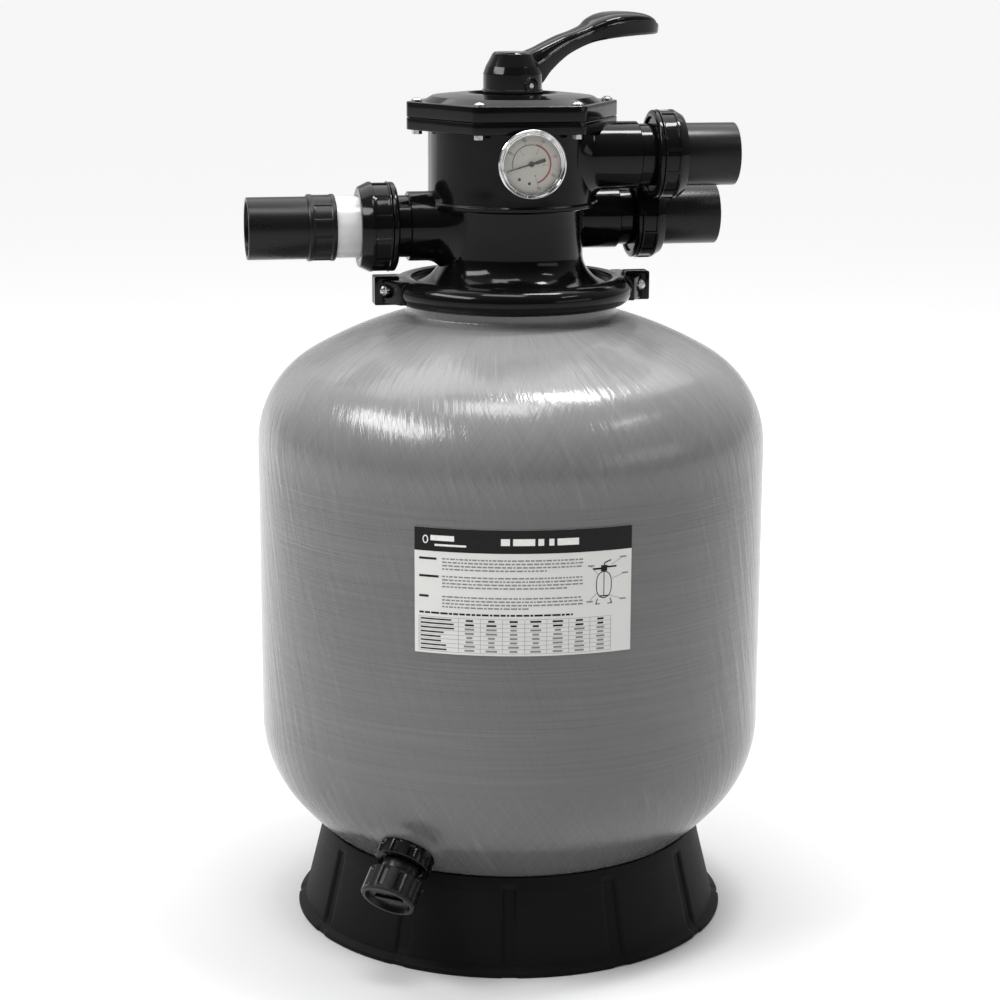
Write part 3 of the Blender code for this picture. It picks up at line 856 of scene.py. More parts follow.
def drawn_in(outline: Outline, distance: float) -> list[tuple[float, float]]:
    """Move a closed convex outline inwards; it runs anticlockwise.

    Args:
        outline: the points.
        distance: how far each side moves.

    Returns:
        The moved points.
    """
    result = []
    for index, (x, y) in enumerate(outline):
        before, after = outline[index - 1], outline[(index + 1) % len(outline)]
        along = Vector((after[0] - before[0], after[1] - before[1])).normalized()
        result.append((x - along.y * distance, y + along.x * distance))
    return result


def rod(radius: float, low: float, high: float, edge: float = 0.0, steps: int = 48) -> Shape:
    """A cylinder along Z with eased rims."""
    return Shape.turned(eased([(0, low), (radius, low, edge), (radius, high, edge), (0, high)]), steps)


def sector(inner: float, outer: float, start: float, end: float, low: float, high: float) -> Shape:
    """A slice of a ring between two angles in degrees."""
    outside = arc(0, 0, outer, start, end, 12)
    return Shape.prism(outside + arc(0, 0, inner, end, start, 12), low, high)


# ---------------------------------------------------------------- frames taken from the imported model


def joint(name: str) -> dict:
    """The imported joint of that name."""
    return next(entry for entry in frame["joints"] if entry["name"] == name)


def rotation(axis: str, degrees: float) -> Matrix:
    """A 4x4 turn about a named axis."""
    return Matrix.Rotation(math.radians(degrees), 4, axis)


def port_frame(name: str) -> Matrix:
    """A port's frame: its local Z runs out along the port, from beside the valve's axis.

    Args:
        name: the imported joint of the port's union nut.

    Returns:
        The frame, in the scene.
    """
    entry = joint(name)
    axis = Vector(entry["axis"])
    place = Vector(entry["pos_m"])
    foot = place - axis * place.dot(axis)
    turn = Vector((0, 0, 1)).rotation_difference(axis).to_matrix().to_4x4()
    return Matrix.Translation(foot) @ turn


PUMP_AXIS = joint("pump_nut_turn")["axis"]
VALVE = rotation("Z", math.degrees(math.atan2(PUMP_AXIS[1], PUMP_AXIS[0])))
WORLD = Matrix.Identity(4)


@dataclass
class Assembly:
    """What every sub-assembly shares."""

    def piece(self, name: str, shape: Shape, finish: Finish, slot: Slot, place: Matrix = VALVE,
              body: str = "vessel", nodes: Sequence[str] = (), sharp: float = 32.0) -> bpy.types.Object:
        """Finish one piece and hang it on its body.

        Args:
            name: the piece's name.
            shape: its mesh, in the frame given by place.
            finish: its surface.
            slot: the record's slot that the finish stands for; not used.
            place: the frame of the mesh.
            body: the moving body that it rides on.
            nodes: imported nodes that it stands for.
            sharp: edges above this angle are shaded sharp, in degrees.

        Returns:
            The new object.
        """
        made = dressed(shape.placed(name, place, sharp), finish)
        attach(made, body)
        if nodes:
            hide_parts(*nodes)
        LOG.info("%s rides on %s with %d faces", name, body, len(made.data.polygons))
        return made

    def fine(self, node: str, shape: Shape, finish: Finish, slot: Slot, place: Matrix = VALVE,
             body: str = "vessel", sharp: float = 32.0) -> bpy.types.Object:
        """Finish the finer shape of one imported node, under the node's own name with _fine.

        Args:
            node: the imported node.
            shape: its mesh, in the frame given by place.
            finish: its surface.
            slot: the record's slot that the finish stands for.
            place: the frame of the mesh.
            body: the moving body that it rides on.
            sharp: edges above this angle are shaded sharp, in degrees.

        Returns:
            The new object.
        """
        return self.piece(f"{node}_fine", shape, finish, slot, place, body, [node], sharp)


# ---------------------------------------------------------------- the tank and its foot


@dataclass
class DrainFitting(Assembly):
    """Drain low on the tank; local Z points out of the wall."""

    azimuth: float = -26.5
    tilt: float = 42.0
    foot_r: float = 0.1968
    foot_z: float = 0.1092
    pad_r: float = 0.0280
    pad_rise: float = 0.0010
    pipe_r: float = 0.0150
    grip_r: float = 0.0250
    ribs: int = 10

    def place(self) -> Matrix:
        """The fitting's frame.

        Returns:
            The frame, in the scene.
        """
        turn = math.radians(self.azimuth)
        foot = (self.foot_r * math.sin(turn), -self.foot_r * math.cos(turn), self.foot_z)
        return Matrix.Translation(foot) @ rotation("Z", self.azimuth) @ rotation("X", 90 + self.tilt)

    def knurl(self, low: float, high: float) -> Relief:
        """Rounded ribs round a grip between two heights.

        Args:
            low: lower end of the grip.
            high: upper end of the grip.

        Returns:
            The relief of the grip.
        """
        def relief(degrees: float, r: float, z: float) -> float:
            """Sink the valleys between ribs.

            Args:
                degrees: angle round the piece, in degrees.
                r: radius of the point.
                z: height of the point.

            Returns:
                The change of radius, in metres.
            """
            if r < self.grip_r - 0.0016 or not low < z < high:
                return 0.0
            phase = (degrees * self.ribs / 360.0) % 1.0
            valley = 1.0 - step_up(abs(phase - 0.5), 0.10, 0.24)
            ends = step_up(z, low, low + 0.0012) * (1 - step_up(z, high - 0.0012, high))
            return -0.0021 * valley * ends
        return relief

    def build(self) -> None:
        """Make the body, the lock nut and the cap."""
        place = self.place()
        body = [(0.0100, -0.0140), (0.0210, -0.0140, 0.0008), (0.0210, -0.0112), (self.pipe_r, -0.0112),
                (self.pipe_r, 0.0155), (0.0165, 0.0155, 0.0004), (0.0165, 0.0262, 0.0004),
                (self.pipe_r, 0.0262), (self.pipe_r, 0.0440, 0.0005), (0.0100, 0.0440)]
        self.fine("drain_body", Shape.turned(eased(body, True), 64), SATIN, Slot.SATIN, place)
        nut = [(0.0154, 0.0013), (0.0243, 0.0013, 0.0006)]
        nut += [(self.grip_r, 0.0022 + 0.00118 * step) for step in range(11)]
        nut += [(0.0240, 0.0150, 0.0008), (0.0195, 0.0150), (0.0185, 0.0143), (0.0154, 0.0143)]
        shape = Shape.turned(eased(nut, True), 180, self.knurl(0.0030, 0.0142))
        self.fine("drain_lock_nut", shape, GLOSS, Slot.SATIN, place)
        cap = [(0, 0.0450), (0.0155, 0.0450), (0.0155, 0.0270), (0.0240, 0.0270, 0.0006)]
        cap += [(self.grip_r, 0.0280 + 0.00170 * step) for step in range(13)]
        cap += [(0.0236, 0.0500, 0.0012), (0.0205, 0.0500, 0.0006), (0.0190, 0.0462), (0, 0.0462)]
        shape = Shape.turned(eased(cap), 180, self.knurl(0.0284, 0.0470))
        bar = Shape.block((-0.0130, -0.0022, 0.0458), (0.0130, 0.0022, 0.0484), 0.0007)
        self.fine("drain_cap", shape.joined(bar), SATIN, Slot.SATIN, place, "drain_plug")


@dataclass
class Tank(Assembly):
    """Wound shell: two crowned ends on a straight side, with a flanged neck."""

    drain: DrainFitting
    radius: float = 0.2275
    wall: float = 0.005
    side_bottom: float = 0.1848
    side_top: float = 0.4383
    top_crown_r: float = 0.3638
    top_crown_z: float = 0.2025
    top_knuckle_r: float = 0.0916
    low_crown_r: float = 0.26485
    foot_z: float = 0.0216
    low_knuckle_r: float = 0.1079
    top_end: float = 60.0
    low_end: float = -40.4
    neck_r: float = 0.0935
    neck_bore: float = 0.0750
    flange_r: float = 0.1000
    flange_z: float = 0.5670
    top_z: float = 0.5747
    seams: tuple[float, ...] = (0.4277, 0.4215)
    seam_rise: float = 0.00045
    sides: int = 288

    def outside(self) -> list[tuple[float, float]]:
        """The outer side from the foot to the neck's flange.

        Returns:
            Points (r, z).
        """
        low = arc(0, self.foot_z + self.low_crown_r, self.low_crown_r, -90, self.low_end, 30)[:-1]
        low[0] = (0, self.foot_z)
        low += arc(self.radius - self.low_knuckle_r, self.side_bottom, self.low_knuckle_r,
                   self.low_end, 0, 26)
        side = [(self.radius, self.side_bottom + (self.side_top - self.side_bottom) * step / 84)
                for step in range(1, 84)]
        top = arc(self.radius - self.top_knuckle_r, self.side_top, self.top_knuckle_r, 0, self.top_end, 34)
        neck_turn = math.degrees(math.acos((self.neck_r + 0.006) / self.top_crown_r))
        crown = arc(0, self.top_crown_z, self.top_crown_r, self.top_end, neck_turn, 26)[1:]
        foot = (self.neck_r, crown[-1][1] + 0.0025)
        neck = eased([crown[-1], (*foot, 0.005), (self.neck_r, self.flange_z),
                      (self.flange_r, self.flange_z, 0.0010), (self.flange_r, self.top_z, 0.0006),
                      (0.0885, self.top_z)], steps=6)
        return low + side + top + crown[:-1] + neck

    def inside(self) -> list[tuple[float, float]]:
        """The groove for the seal, the bore, and the inner side down to the foot.

        Returns:
            Points (r, z).
        """
        groove = [(0.0885, 0.5708), (0.0828, 0.5708), (0.0828, self.top_z)]
        groove += [(self.neck_bore, self.top_z), (self.neck_bore, 0.5500)]
        turn = math.degrees(math.acos(self.neck_r / (self.top_crown_r - self.wall)))
        crown = arc(0, self.top_crown_z, self.top_crown_r - self.wall, turn, self.top_end, 12)[:-1]
        top = arc(self.radius - self.top_knuckle_r, self.side_top, self.top_knuckle_r - self.wall,
                  self.top_end, 0, 16)
        low = arc(self.radius - self.low_knuckle_r, self.side_bottom, self.low_knuckle_r - self.wall,
                  0, self.low_end, 16)
        foot = arc(0, self.foot_z + self.low_crown_r, self.low_crown_r - self.wall, self.low_end, -90, 16)
        foot[-1] = (0, foot[-1][1])
        return groove + crown + top + low + foot[1:]

    def within(self, r: float, z: float) -> bool:
        """Whether a point lies on the inner side of the wall.

        Args:
            r: radius of the point.
            z: height of the point.

        Returns:
            True on the inner side.
        """
        half = self.wall / 2
        if z > self.side_top:
            return math.hypot(r, z - self.top_crown_z) < self.top_crown_r - half and r < self.neck_r - half
        if z > self.side_bottom:
            return r < self.radius - half
        return math.hypot(r, z - self.foot_z - self.low_crown_r) < self.low_crown_r - half

    def relief(self, degrees: float, r: float, z: float) -> float:
        """Ridges where the winding ends, and the slight waviness of a wound wall.

        Args:
            degrees: angle round the piece, in degrees.
            r: radius of the point.
            z: height of the point.

        Returns:
            The change of radius, in metres.
        """
        if self.within(r, z):
            return 0.0
        turn = math.radians(degrees)
        around = Vector((math.cos(turn) * 2.4, math.sin(turn) * 2.4, z * 9.0))
        rise = 0.00022 * noise.noise(around) * step_up(z, 0.03, 0.08) * (1 - step_up(z, 0.545, 0.555))
        for seam in self.seams:
            rise += self.seam_rise * (1 - step_up(abs(z - seam), 0.0006, 0.0020))
        return rise

    def build(self) -> None:
        """Make the shell, raise the drain's pad and drill it."""
        shape = Shape.turned(self.outside() + self.inside(), self.sides, self.relief)
        frame_of_drain = self.drain.place()
        inverse = frame_of_drain.inverted()
        for point in shape.mesh.verts:
            local = inverse @ point.co
            reach = math.hypot(local.x, local.y)
            if reach < self.drain.pad_r + 0.010 and abs(local.z) < 0.0045:
                share = 1 - step_up(reach, self.drain.pad_r - 0.004, self.drain.pad_r + 0.009)
                local.z += (self.drain.pad_rise - local.z) * share
                point.co = frame_of_drain @ local
        hole = rod(self.drain.pipe_r + 0.0006, -0.03, 0.03, steps=40).moved(frame_of_drain)
        self.piece("tank_fine", shape.cut(hole), TANK_WALL, Slot.FIBREGLASS, WORLD,
                   nodes=["tank_shell"], sharp=40.0)


@dataclass
class BaseSkirt(Assembly):
    """Moulded foot with twelve panels between narrow recessed channels."""

    panels: int = 12
    channel_half_width: float = 2.0
    channel_depth: float = 0.0026
    channel_low: float = 0.0105
    channel_high: float = 0.0755
    sides: int = 720

    def relief(self, degrees: float, r: float, z: float) -> float:
        """Sink the channels in the outer face, and notch the lip below each.

        Args:
            degrees: angle round the piece, in degrees.
            r: radius of the point.
            z: height of the point.

        Returns:
            The change of radius, in metres.
        """
        from_channel = abs((degrees * self.panels / 360.0 + 0.5) % 1.0 - 0.5) * 360.0 / self.panels
        across = 1 - step_up(from_channel, self.channel_half_width - 0.5, self.channel_half_width + 0.25)
        outer = r > 0.1905 - 0.235 * z - 0.0012
        if outer and self.channel_low - 0.002 < z < self.channel_high + 0.002:
            up = step_up(z, self.channel_low - 0.0008, self.channel_low + 0.0006)
            down = 1 - step_up(z, self.channel_high - 0.003, self.channel_high)
            return -self.channel_depth * across * up * down
        if z <= self.channel_low and r > 0.1900:
            return -0.0011 * across
        return 0.0

    def build(self) -> None:
        """Make the skirt."""
        wall = [(0.1905 - 0.0145 * step / 24, 0.0080 + 0.0590 * step / 24) for step in range(25)]
        rim = [(0.1757 - 0.0037 * step / 6, 0.0695 + 0.0145 * step / 6) for step in range(7)]
        outline = [(0.1900, 0), (0.1960, 0, 0.0008), (0.1972, 0.0015, 0.0008), (0.1967, 0.0046, 0.0010),
                   (0.1936, 0.0062, 0.0006)]
        outline += [(x, z) for x, z in wall] + rim[:-1]
        outline += [(rim[-1][0], rim[-1][1], 0.0009), (0.1680, 0.0810, 0.0006), (0.1720, 0.0665),
                    (0.1862, 0.0070)]
        shape = Shape.turned(eased(outline, True), self.sides, self.relief)
        self.fine("base_skirt", shape, BASE, Slot.BASE, WORLD, sharp=28.0)


class Ink(Enum):
    """Printing inks of the label and of the gauge's dial."""

    BLACK = "black"
    GREY = "grey"
    PALE = "pale"
    RED = "red"


INK_FINISH = {Ink.BLACK: INK_BLACK, Ink.GREY: INK_GREY, Ink.PALE: INK_PALE, Ink.RED: INK_RED}


@dataclass
class RatingLabel(Assembly):
    """Printed film bent round the tank's side, with generic bars in place of words."""

    left: float = -20.5
    right: float = 25.9
    inner_r: float = 0.22795
    outer_r: float = 0.22830
    ink_rise: float = 0.00009
    header: float = 0.185
    seed: int = 7
    shapes: dict[Ink, list[Shape]] = field(default_factory=lambda: {ink: [] for ink in Ink})

    def __post_init__(self) -> None:
        """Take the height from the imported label."""
        low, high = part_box("rating_label")
        self.bottom, self.top = low[2], high[2]

    def point(self, u: float, v: float, radius: float) -> tuple[float, float, float]:
        """A point on the film; u runs right and v runs down, both from 0 to 1."""
        turn = math.radians(self.left + (self.right - self.left) * u - 90)
        return (radius * math.cos(turn), radius * math.sin(turn), self.top + (self.bottom - self.top) * v)

    def patch(self, ink: Ink, corners: Sequence[tuple[float, float]], steps: int = 1) -> None:
        """Lay ink over a four-sided patch; wide patches take more steps to follow the bend.

        Args:
            ink: the ink.
            corners: four corners (u, v), in order.
            steps: segments across.
        """
        (u0, v0), (u1, v1), (u2, v2), (u3, v3) = corners
        rise = self.ink_rise * (1.6 if ink is Ink.PALE else 1.0)
        rings = []
        for step in range(steps + 1):
            share = step / steps
            over = (u0 + (u1 - u0) * share, v0 + (v1 - v0) * share)
            under = (u3 + (u2 - u3) * share, v3 + (v2 - v3) * share)
            rings.append([self.point(*over, self.outer_r), self.point(*over, self.outer_r + rise),
                          self.point(*under, self.outer_r + rise), self.point(*under, self.outer_r)])
        self.shapes[ink].append(Shape.lofted(rings))

    def bar(self, ink: Ink, u0: float, u1: float, v0: float, v1: float) -> None:
        """Lay an upright rectangle of ink."""
        steps = max(1, round((u1 - u0) * 20))
        self.patch(ink, [(u0, v0), (u1, v0), (u1, v1), (u0, v1)], steps)

    def stroke(self, ink: Ink, points: Sequence[tuple[float, float]], width: float = 0.004) -> None:
        """Draw a line through points.

        Args:
            ink: the ink.
            points: places (u, v) along the line.
            width: width of the line.
        """
        for (u0, v0), (u1, v1) in zip(points, points[1:]):
            length = math.hypot(u1 - u0, (v1 - v0) / 1.73)
            across_u = -(v1 - v0) / 1.73 / length * width / 2
            across_v = (u1 - u0) / length * width / 2 * 1.73
            self.patch(ink, [(u0 - across_u, v0 - across_v), (u1 - across_u, v1 - across_v),
                             (u1 + across_u, v1 + across_v), (u0 + across_u, v0 + across_v)])

    def line(self, u0: float, u1: float, v: float, height: float, ink: Ink, draw: random.Random,
             word: float = 0.018) -> None:
        """Fill a line with short dashes, as wide as words.

        Args:
            u0: left end.
            u1: right end.
            v: top of the dashes.
            height: height of the dashes.
            ink: the ink.
            draw: the source of random numbers.
            word: usual width of a dash.
        """
        here = u0
        while here < u1 - 0.006:
            width = min(word * draw.uniform(0.45, 1.6), u1 - here)
            self.bar(ink, here, here + width, v, v + height)
            here += width + 0.0052

    def texts(self, draw: random.Random) -> None:
        """Three headed blocks of lines, and the bold line under them.

        Args:
            draw: the source of random numbers.
        """
        for block, top in enumerate((0.235, 0.375, 0.535)):
            self.bar(Ink.BLACK, 0.022, 0.022 + (0.082, 0.092, 0.045)[block], top, top + 0.018)
            for row in range(4):
                end = 0.765 if row < 3 else (0.60, 0.70, 0.52)[block]
                self.line(0.130, end, top + 0.027 * row, 0.0115, Ink.GREY, draw)
        self.line(0.022, 0.72, 0.668, 0.015, Ink.BLACK, draw, 0.024)

    def table(self, draw: random.Random) -> None:
        """A ruled table of short figures.

        Args:
            draw: the source of random numbers.
        """
        top, bottom, left, right, rows, columns = 0.708, 0.982, 0.020, 0.900, 8, 7
        step = (bottom - top) / rows
        first = 0.205
        for row in range(rows + 1):
            self.bar(Ink.GREY, left, right, top + step * row - 0.0012, top + step * row + 0.0012)
        for edge in [left] + [first + (right - first) * c / columns for c in range(columns + 1)]:
            self.bar(Ink.GREY, edge - 0.0007, edge + 0.0007, top, bottom)
        for row in range(rows):
            middle = top + step * (row + 0.5)
            ink = Ink.BLACK if row in (0, 1) else Ink.GREY
            self.bar(Ink.BLACK, left + 0.008, left + draw.uniform(0.09, 0.17),
                     middle - 0.006, middle + 0.006)
            for column in range(columns):
                centre = first + (right - first) * (column + 0.5) / columns
                half = draw.uniform(0.013, 0.026)
                self.bar(ink, centre - half, centre + half, middle - 0.0075, middle + 0.0075)

    def drawing(self) -> None:
        """A small line drawing of the filter, with leader lines."""
        centre = 0.865
        tank = [(centre + 0.036 * math.cos(a), 0.455 + 0.105 * squared(math.sin(a), 0.7))
                for a in (math.tau * k / 28 for k in range(29))]
        self.stroke(Ink.BLACK, tank, 0.0040)
        self.stroke(Ink.BLACK, [(centre, 0.335), (centre, 0.545)], 0.0035)
        for side in (-1, 1):
            self.stroke(Ink.BLACK, [(centre, 0.545), (centre + side * 0.024, 0.545)], 0.0050)
            self.stroke(Ink.BLACK, [(centre + side * 0.030, 0.565), (centre + side * 0.038, 0.605)], 0.0040)
        self.stroke(Ink.BLACK, [(centre - 0.040, 0.607), (centre + 0.040, 0.607)], 0.0040)
        self.bar(Ink.BLACK, centre - 0.015, centre + 0.015, 0.300, 0.347)
        self.bar(Ink.BLACK, centre - 0.052, centre - 0.015, 0.318, 0.333)
        self.bar(Ink.BLACK, centre + 0.015, centre + 0.060, 0.308, 0.322)
        self.stroke(Ink.BLACK, [(centre, 0.300), (centre + 0.004, 0.280), (centre + 0.034, 0.262)], 0.0055)
        for start, end in (((0.90, 0.30), (0.955, 0.245)), ((0.905, 0.41), (0.965, 0.375)),
                           ((0.835, 0.37), (0.800, 0.300)), ((0.885, 0.54), (0.955, 0.580)),
                           ((0.830, 0.52), (0.795, 0.585))):
            self.stroke(Ink.GREY, [start, end], 0.0022)
            self.bar(Ink.GREY, end[0] - 0.012, end[0] + 0.018, end[1] - 0.006, end[1] + 0.006)

    def heading(self) -> None:
        """The dark band along the top, with a plain drop mark and two rows of pale bars."""
        self.bar(Ink.BLACK, 0.0, 1.0, 0.0, self.header)
        drop = [(0.052 + 0.011 * math.cos(a), 0.093 + 0.030 * math.sin(a)) for a in
                (math.tau * k / 12 for k in range(13))]
        self.stroke(Ink.PALE, drop, 0.0050)
        self.bar(Ink.PALE, 0.076, 0.185, 0.058, 0.100)
        self.bar(Ink.PALE, 0.095, 0.240, 0.126, 0.142)
        here = 0.395
        for width in (0.040, 0.098, 0.072, 0.098):
            self.bar(Ink.PALE, here, here + width, 0.068, 0.122)
            here += width + 0.014

    def build(self) -> None:
        """Make the film and its print."""
        rings = []
        corners = [(self.inner_r, self.bottom), (self.outer_r, self.bottom), (self.outer_r, self.top),
                   (self.inner_r, self.top)]
        for step in range(49):
            turn = math.radians(self.left + (self.right - self.left) * step / 48 - 90)
            rings.append([(r * math.cos(turn), r * math.sin(turn), z) for r, z in corners])
        self.piece("rating_label_film", Shape.lofted(rings), FILM, Slot.LABEL, WORLD,
                   nodes=["rating_label"])
        draw = random.Random(self.seed)
        self.heading()
        self.texts(draw)
        self.table(draw)
        self.drawing()
        for ink in (Ink.BLACK, Ink.GREY, Ink.PALE):
            first, *others = self.shapes[ink]
            self.piece(f"label_print_{ink.value}", first.beside(*others), INK_FINISH[ink], Slot.LABEL,
                       WORLD)
        LOG.info("label printed with %d marks", sum(len(marks) for marks in self.shapes.values()))


def squared(value: float, power: float) -> float:
    """Swell a circle's coordinate towards a rounded square."""
    return math.copysign(abs(value) ** power, value)


# ---------------------------------------------------------------- screws shared by the clamp and the lid


@dataclass
class Screw:
    """A pan-head screw with a crossed recess, standing on Z with its seat at 0."""

    shank_r: float = 0.0025
    head_r: float = 0.0050
    head_rise: float = 0.0032
    cross: float = 0.0010

    def shape(self, shank: float) -> Shape:
        """Make the screw with a threaded shank of that length below its seat.

        Args:
            shank: length below the seat.

        Returns:
            The screw.
        """
        dome = arc(0, -0.0030, self.head_rise + 0.0030, 90, 50, 8)
        top = [(r, z) for r, z in dome if r < self.head_r - 0.0006]
        profile = eased([*top, (self.head_r - 0.0002, 0.0014, 0.0005), (self.head_r, 0.0, 0.0001),
                         (self.shank_r, 0.0)])
        pitch = 0.0008
        for turn in range(int((shank - 0.001) / pitch)):
            profile += [(self.shank_r, -turn * pitch - 0.0002),
                        (self.shank_r - 0.0003, -turn * pitch - 0.0006)]
        profile += [(self.shank_r - 0.0006, -shank), (0, -shank)]
        long = self.head_r * 0.62
        cuts = []
        for size_x, size_y in ((long, self.cross / 2), (self.cross / 2, long)):
            cutter = Shape.block((-size_x, -size_y, self.head_rise - 0.0016),
                                 (size_x, size_y, self.head_rise + 0.002))
            cuts.append(cutter.turned_about_z(7.0))
        return Shape.turned(profile, 36).cut(*cuts)


def nut_shape(radius: float, low: float, high: float, hole: float) -> Shape:
    """A hexagon nut along Z with chamfered corners.

    Args:
        radius: centre to corner.
        low: lower face.
        high: upper face.
        hole: radius of the hole.

    Returns:
        The nut.
    """
    cone = Shape.turned([(0, low - 0.001), (radius * 0.86, low - 0.001), (radius * 1.06, low + 0.0010),
                         (radius * 1.06, high - 0.0010), (radius * 0.86, high + 0.001),
                         (0, high + 0.001)], 48)
    blank = Shape.prism(circle(radius, 6), low, high).combined(Meet.SHARE, [cone])
    return blank.cut(rod(hole, low - 0.01, high + 0.01, steps=24).turned_about_z(4.0))


# ---------------------------------------------------------------- clamp and valve


@dataclass
class NeckClamp(Assembly):
    """Two half rings with ears, drawn together by a screw and nut at each side."""

    outer_r: float = 0.1080
    belly_r: float = 0.0118
    low: float = 0.5630
    high: float = 0.5870
    ear_near: float = 0.1025
    ear_end: float = 0.1245
    bolt_x: float = 0.1150
    bolt_z: float = 0.5770

    def half(self, name: str, side: int) -> None:
        """Make one half ring; side is -1 in front and 1 behind.

        Args:
            name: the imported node.
            side: -1 in front, 1 behind.
        """
        belly = arc(self.outer_r - self.belly_r, 0.5750, self.belly_r, -72, 72, 18)
        corners = [(0.0945, self.low, 0.0008), *belly, (0.0950, self.high, 0.0010),
                   (0.0900, 0.5862, 0.0006), (0.0898, 0.5825), (0.1012, 0.5825), (0.1012, 0.5665),
                   (0.0945, 0.5665)]
        start = 0.4 if side > 0 else 180.4
        ring = Shape.swept(eased(corners, True), start, start + 179.2, 120)
        ears = []
        for end in (-1, 1):
            near, far = sorted((end * self.ear_near, end * self.ear_end))
            low, high = sorted((side * 0.0005, side * 0.0095))
            ears.append(Shape.block((near, low, 0.5635), (far, high, 0.5890), 0.0014))
            web = [(0.0960, 0.0014), (0.1180, 0.0014), (0.1180, 0.0092), (0.1115, 0.0200), (0.1050, 0.0310),
                   (0.0965, 0.0300)]
            ears.append(Shape.prism([(end * x, side * y) for x, y in web], 0.5658, 0.5862).softened(0.0010))
        solid = ring.joined(*ears)
        holes = [rod(0.0030, -0.02, 0.02, steps=28).along((0, 1, 0), (end * self.bolt_x, 0, self.bolt_z))
                 for end in (-1, 1)]
        near, far = sorted((side * 0.0098, side * 0.0400))
        seats = [rod(0.0064, near, far, steps=40).along((0, 1, 0), (end * self.bolt_x, 0, self.bolt_z))
                 for end in (-1, 1)]
        self.fine(name, solid.cut(*holes, *seats), GLOSS, Slot.GLOSS)

    def build(self) -> None:
        """Make both halves, their screws and their nuts."""
        self.half("clamp_front", -1)
        self.half("clamp_back", 1)
        for end, name in ((-1, "left"), (1, "right")):
            place = Matrix.Translation((end * self.bolt_x, 0, self.bolt_z)) @ rotation("X", 90)
            bolt = Screw(head_r=0.0052, head_rise=0.0038).shape(0.0253).shifted(0, 0, 0.0098)
            self.fine(f"clamp_bolt_{name}", bolt, ZINC, Slot.ZINC, VALVE @ place)
            nut = nut_shape(0.0055, -0.0142, -0.0099, 0.0027)
            self.fine(f"clamp_nut_{name}", nut, ZINC, Slot.ZINC, VALVE @ place)


@dataclass
class Port:
    """One port of the valve: a tube that flares out of the body, and the collar for its union nut."""

    name: str
    outer_r: float
    fillet: float
    body_r: float
    neck_from: float
    collar: float
    collar_r: float = 0.0328
    collar_length: float = 0.0120
    neck_r: float = 0.0272
    bore_r: float = 0.0240
    bore_from: float = 0.050

    def place(self) -> Matrix:
        """The port's frame, in the scene."""
        return port_frame(f"{self.name}_nut_turn")

    def frame(self) -> Matrix:
        """The port's frame, in the valve's own frame."""
        return VALVE.inverted() @ self.place()

    def shape(self) -> Shape:
        """The tube with its flare laid on the round body, and the collar.

        Returns:
            The solid, in the valve's own frame.
        """
        frame_of_port = self.frame()
        away = frame_of_port.to_translation()
        across = frame_of_port.to_3x3()
        sides = 96
        rings = []
        rounds = [90.0 - 7.5 * step for step in range(13)]
        for turn in rounds:
            sweep = math.radians(turn)
            radius = self.outer_r + self.fillet * (1 - math.cos(sweep))
            out = self.fillet * (1 - math.sin(sweep)) - 0.0006
            rings.append([self._on_body(x, y, out, away, across) for x, y in circle(radius, sides)])
        rings.insert(0, [(x, y, 0.0) for x, y, _ in rings[0]])
        for along, radius in ((self.neck_from - 0.0008, self.outer_r),
                              (self.neck_from, self.outer_r - 0.0008),
                              (self.neck_from, self.neck_r), (self.collar, self.neck_r),
                              (self.collar, self.collar_r - 0.0006), (self.collar + 0.0006, self.collar_r),
                              (self.collar + self.collar_length, self.collar_r)):
            rings.append([(x, y, along) for x, y in circle(radius, sides)])
        return Shape.lofted(rings).moved(frame_of_port)

    def _on_body(self, x: float, y: float, out: float, away: Vector,
                 across: Matrix) -> tuple[float, float, float]:
        """A point of the flare: how far out the body's side is there, plus out.

        Args:
            x: place across the port.
            y: place across the port.
            out: distance past the side.
            away: the port's foot.
            across: the port's turn.

        Returns:
            The point, in the port's frame.
        """
        sideways = (across @ Vector((x, y, 0))).y + away.y
        under = self.body_r * self.body_r - sideways * sideways
        return (x, y, max(math.sqrt(max(under, 0.0)), 0.014) + out)

    def bore(self) -> Shape:
        """The waterway."""
        return rod(self.bore_r, self.bore_from, 0.150, steps=60).turned_about_z(2.0).moved(self.frame())


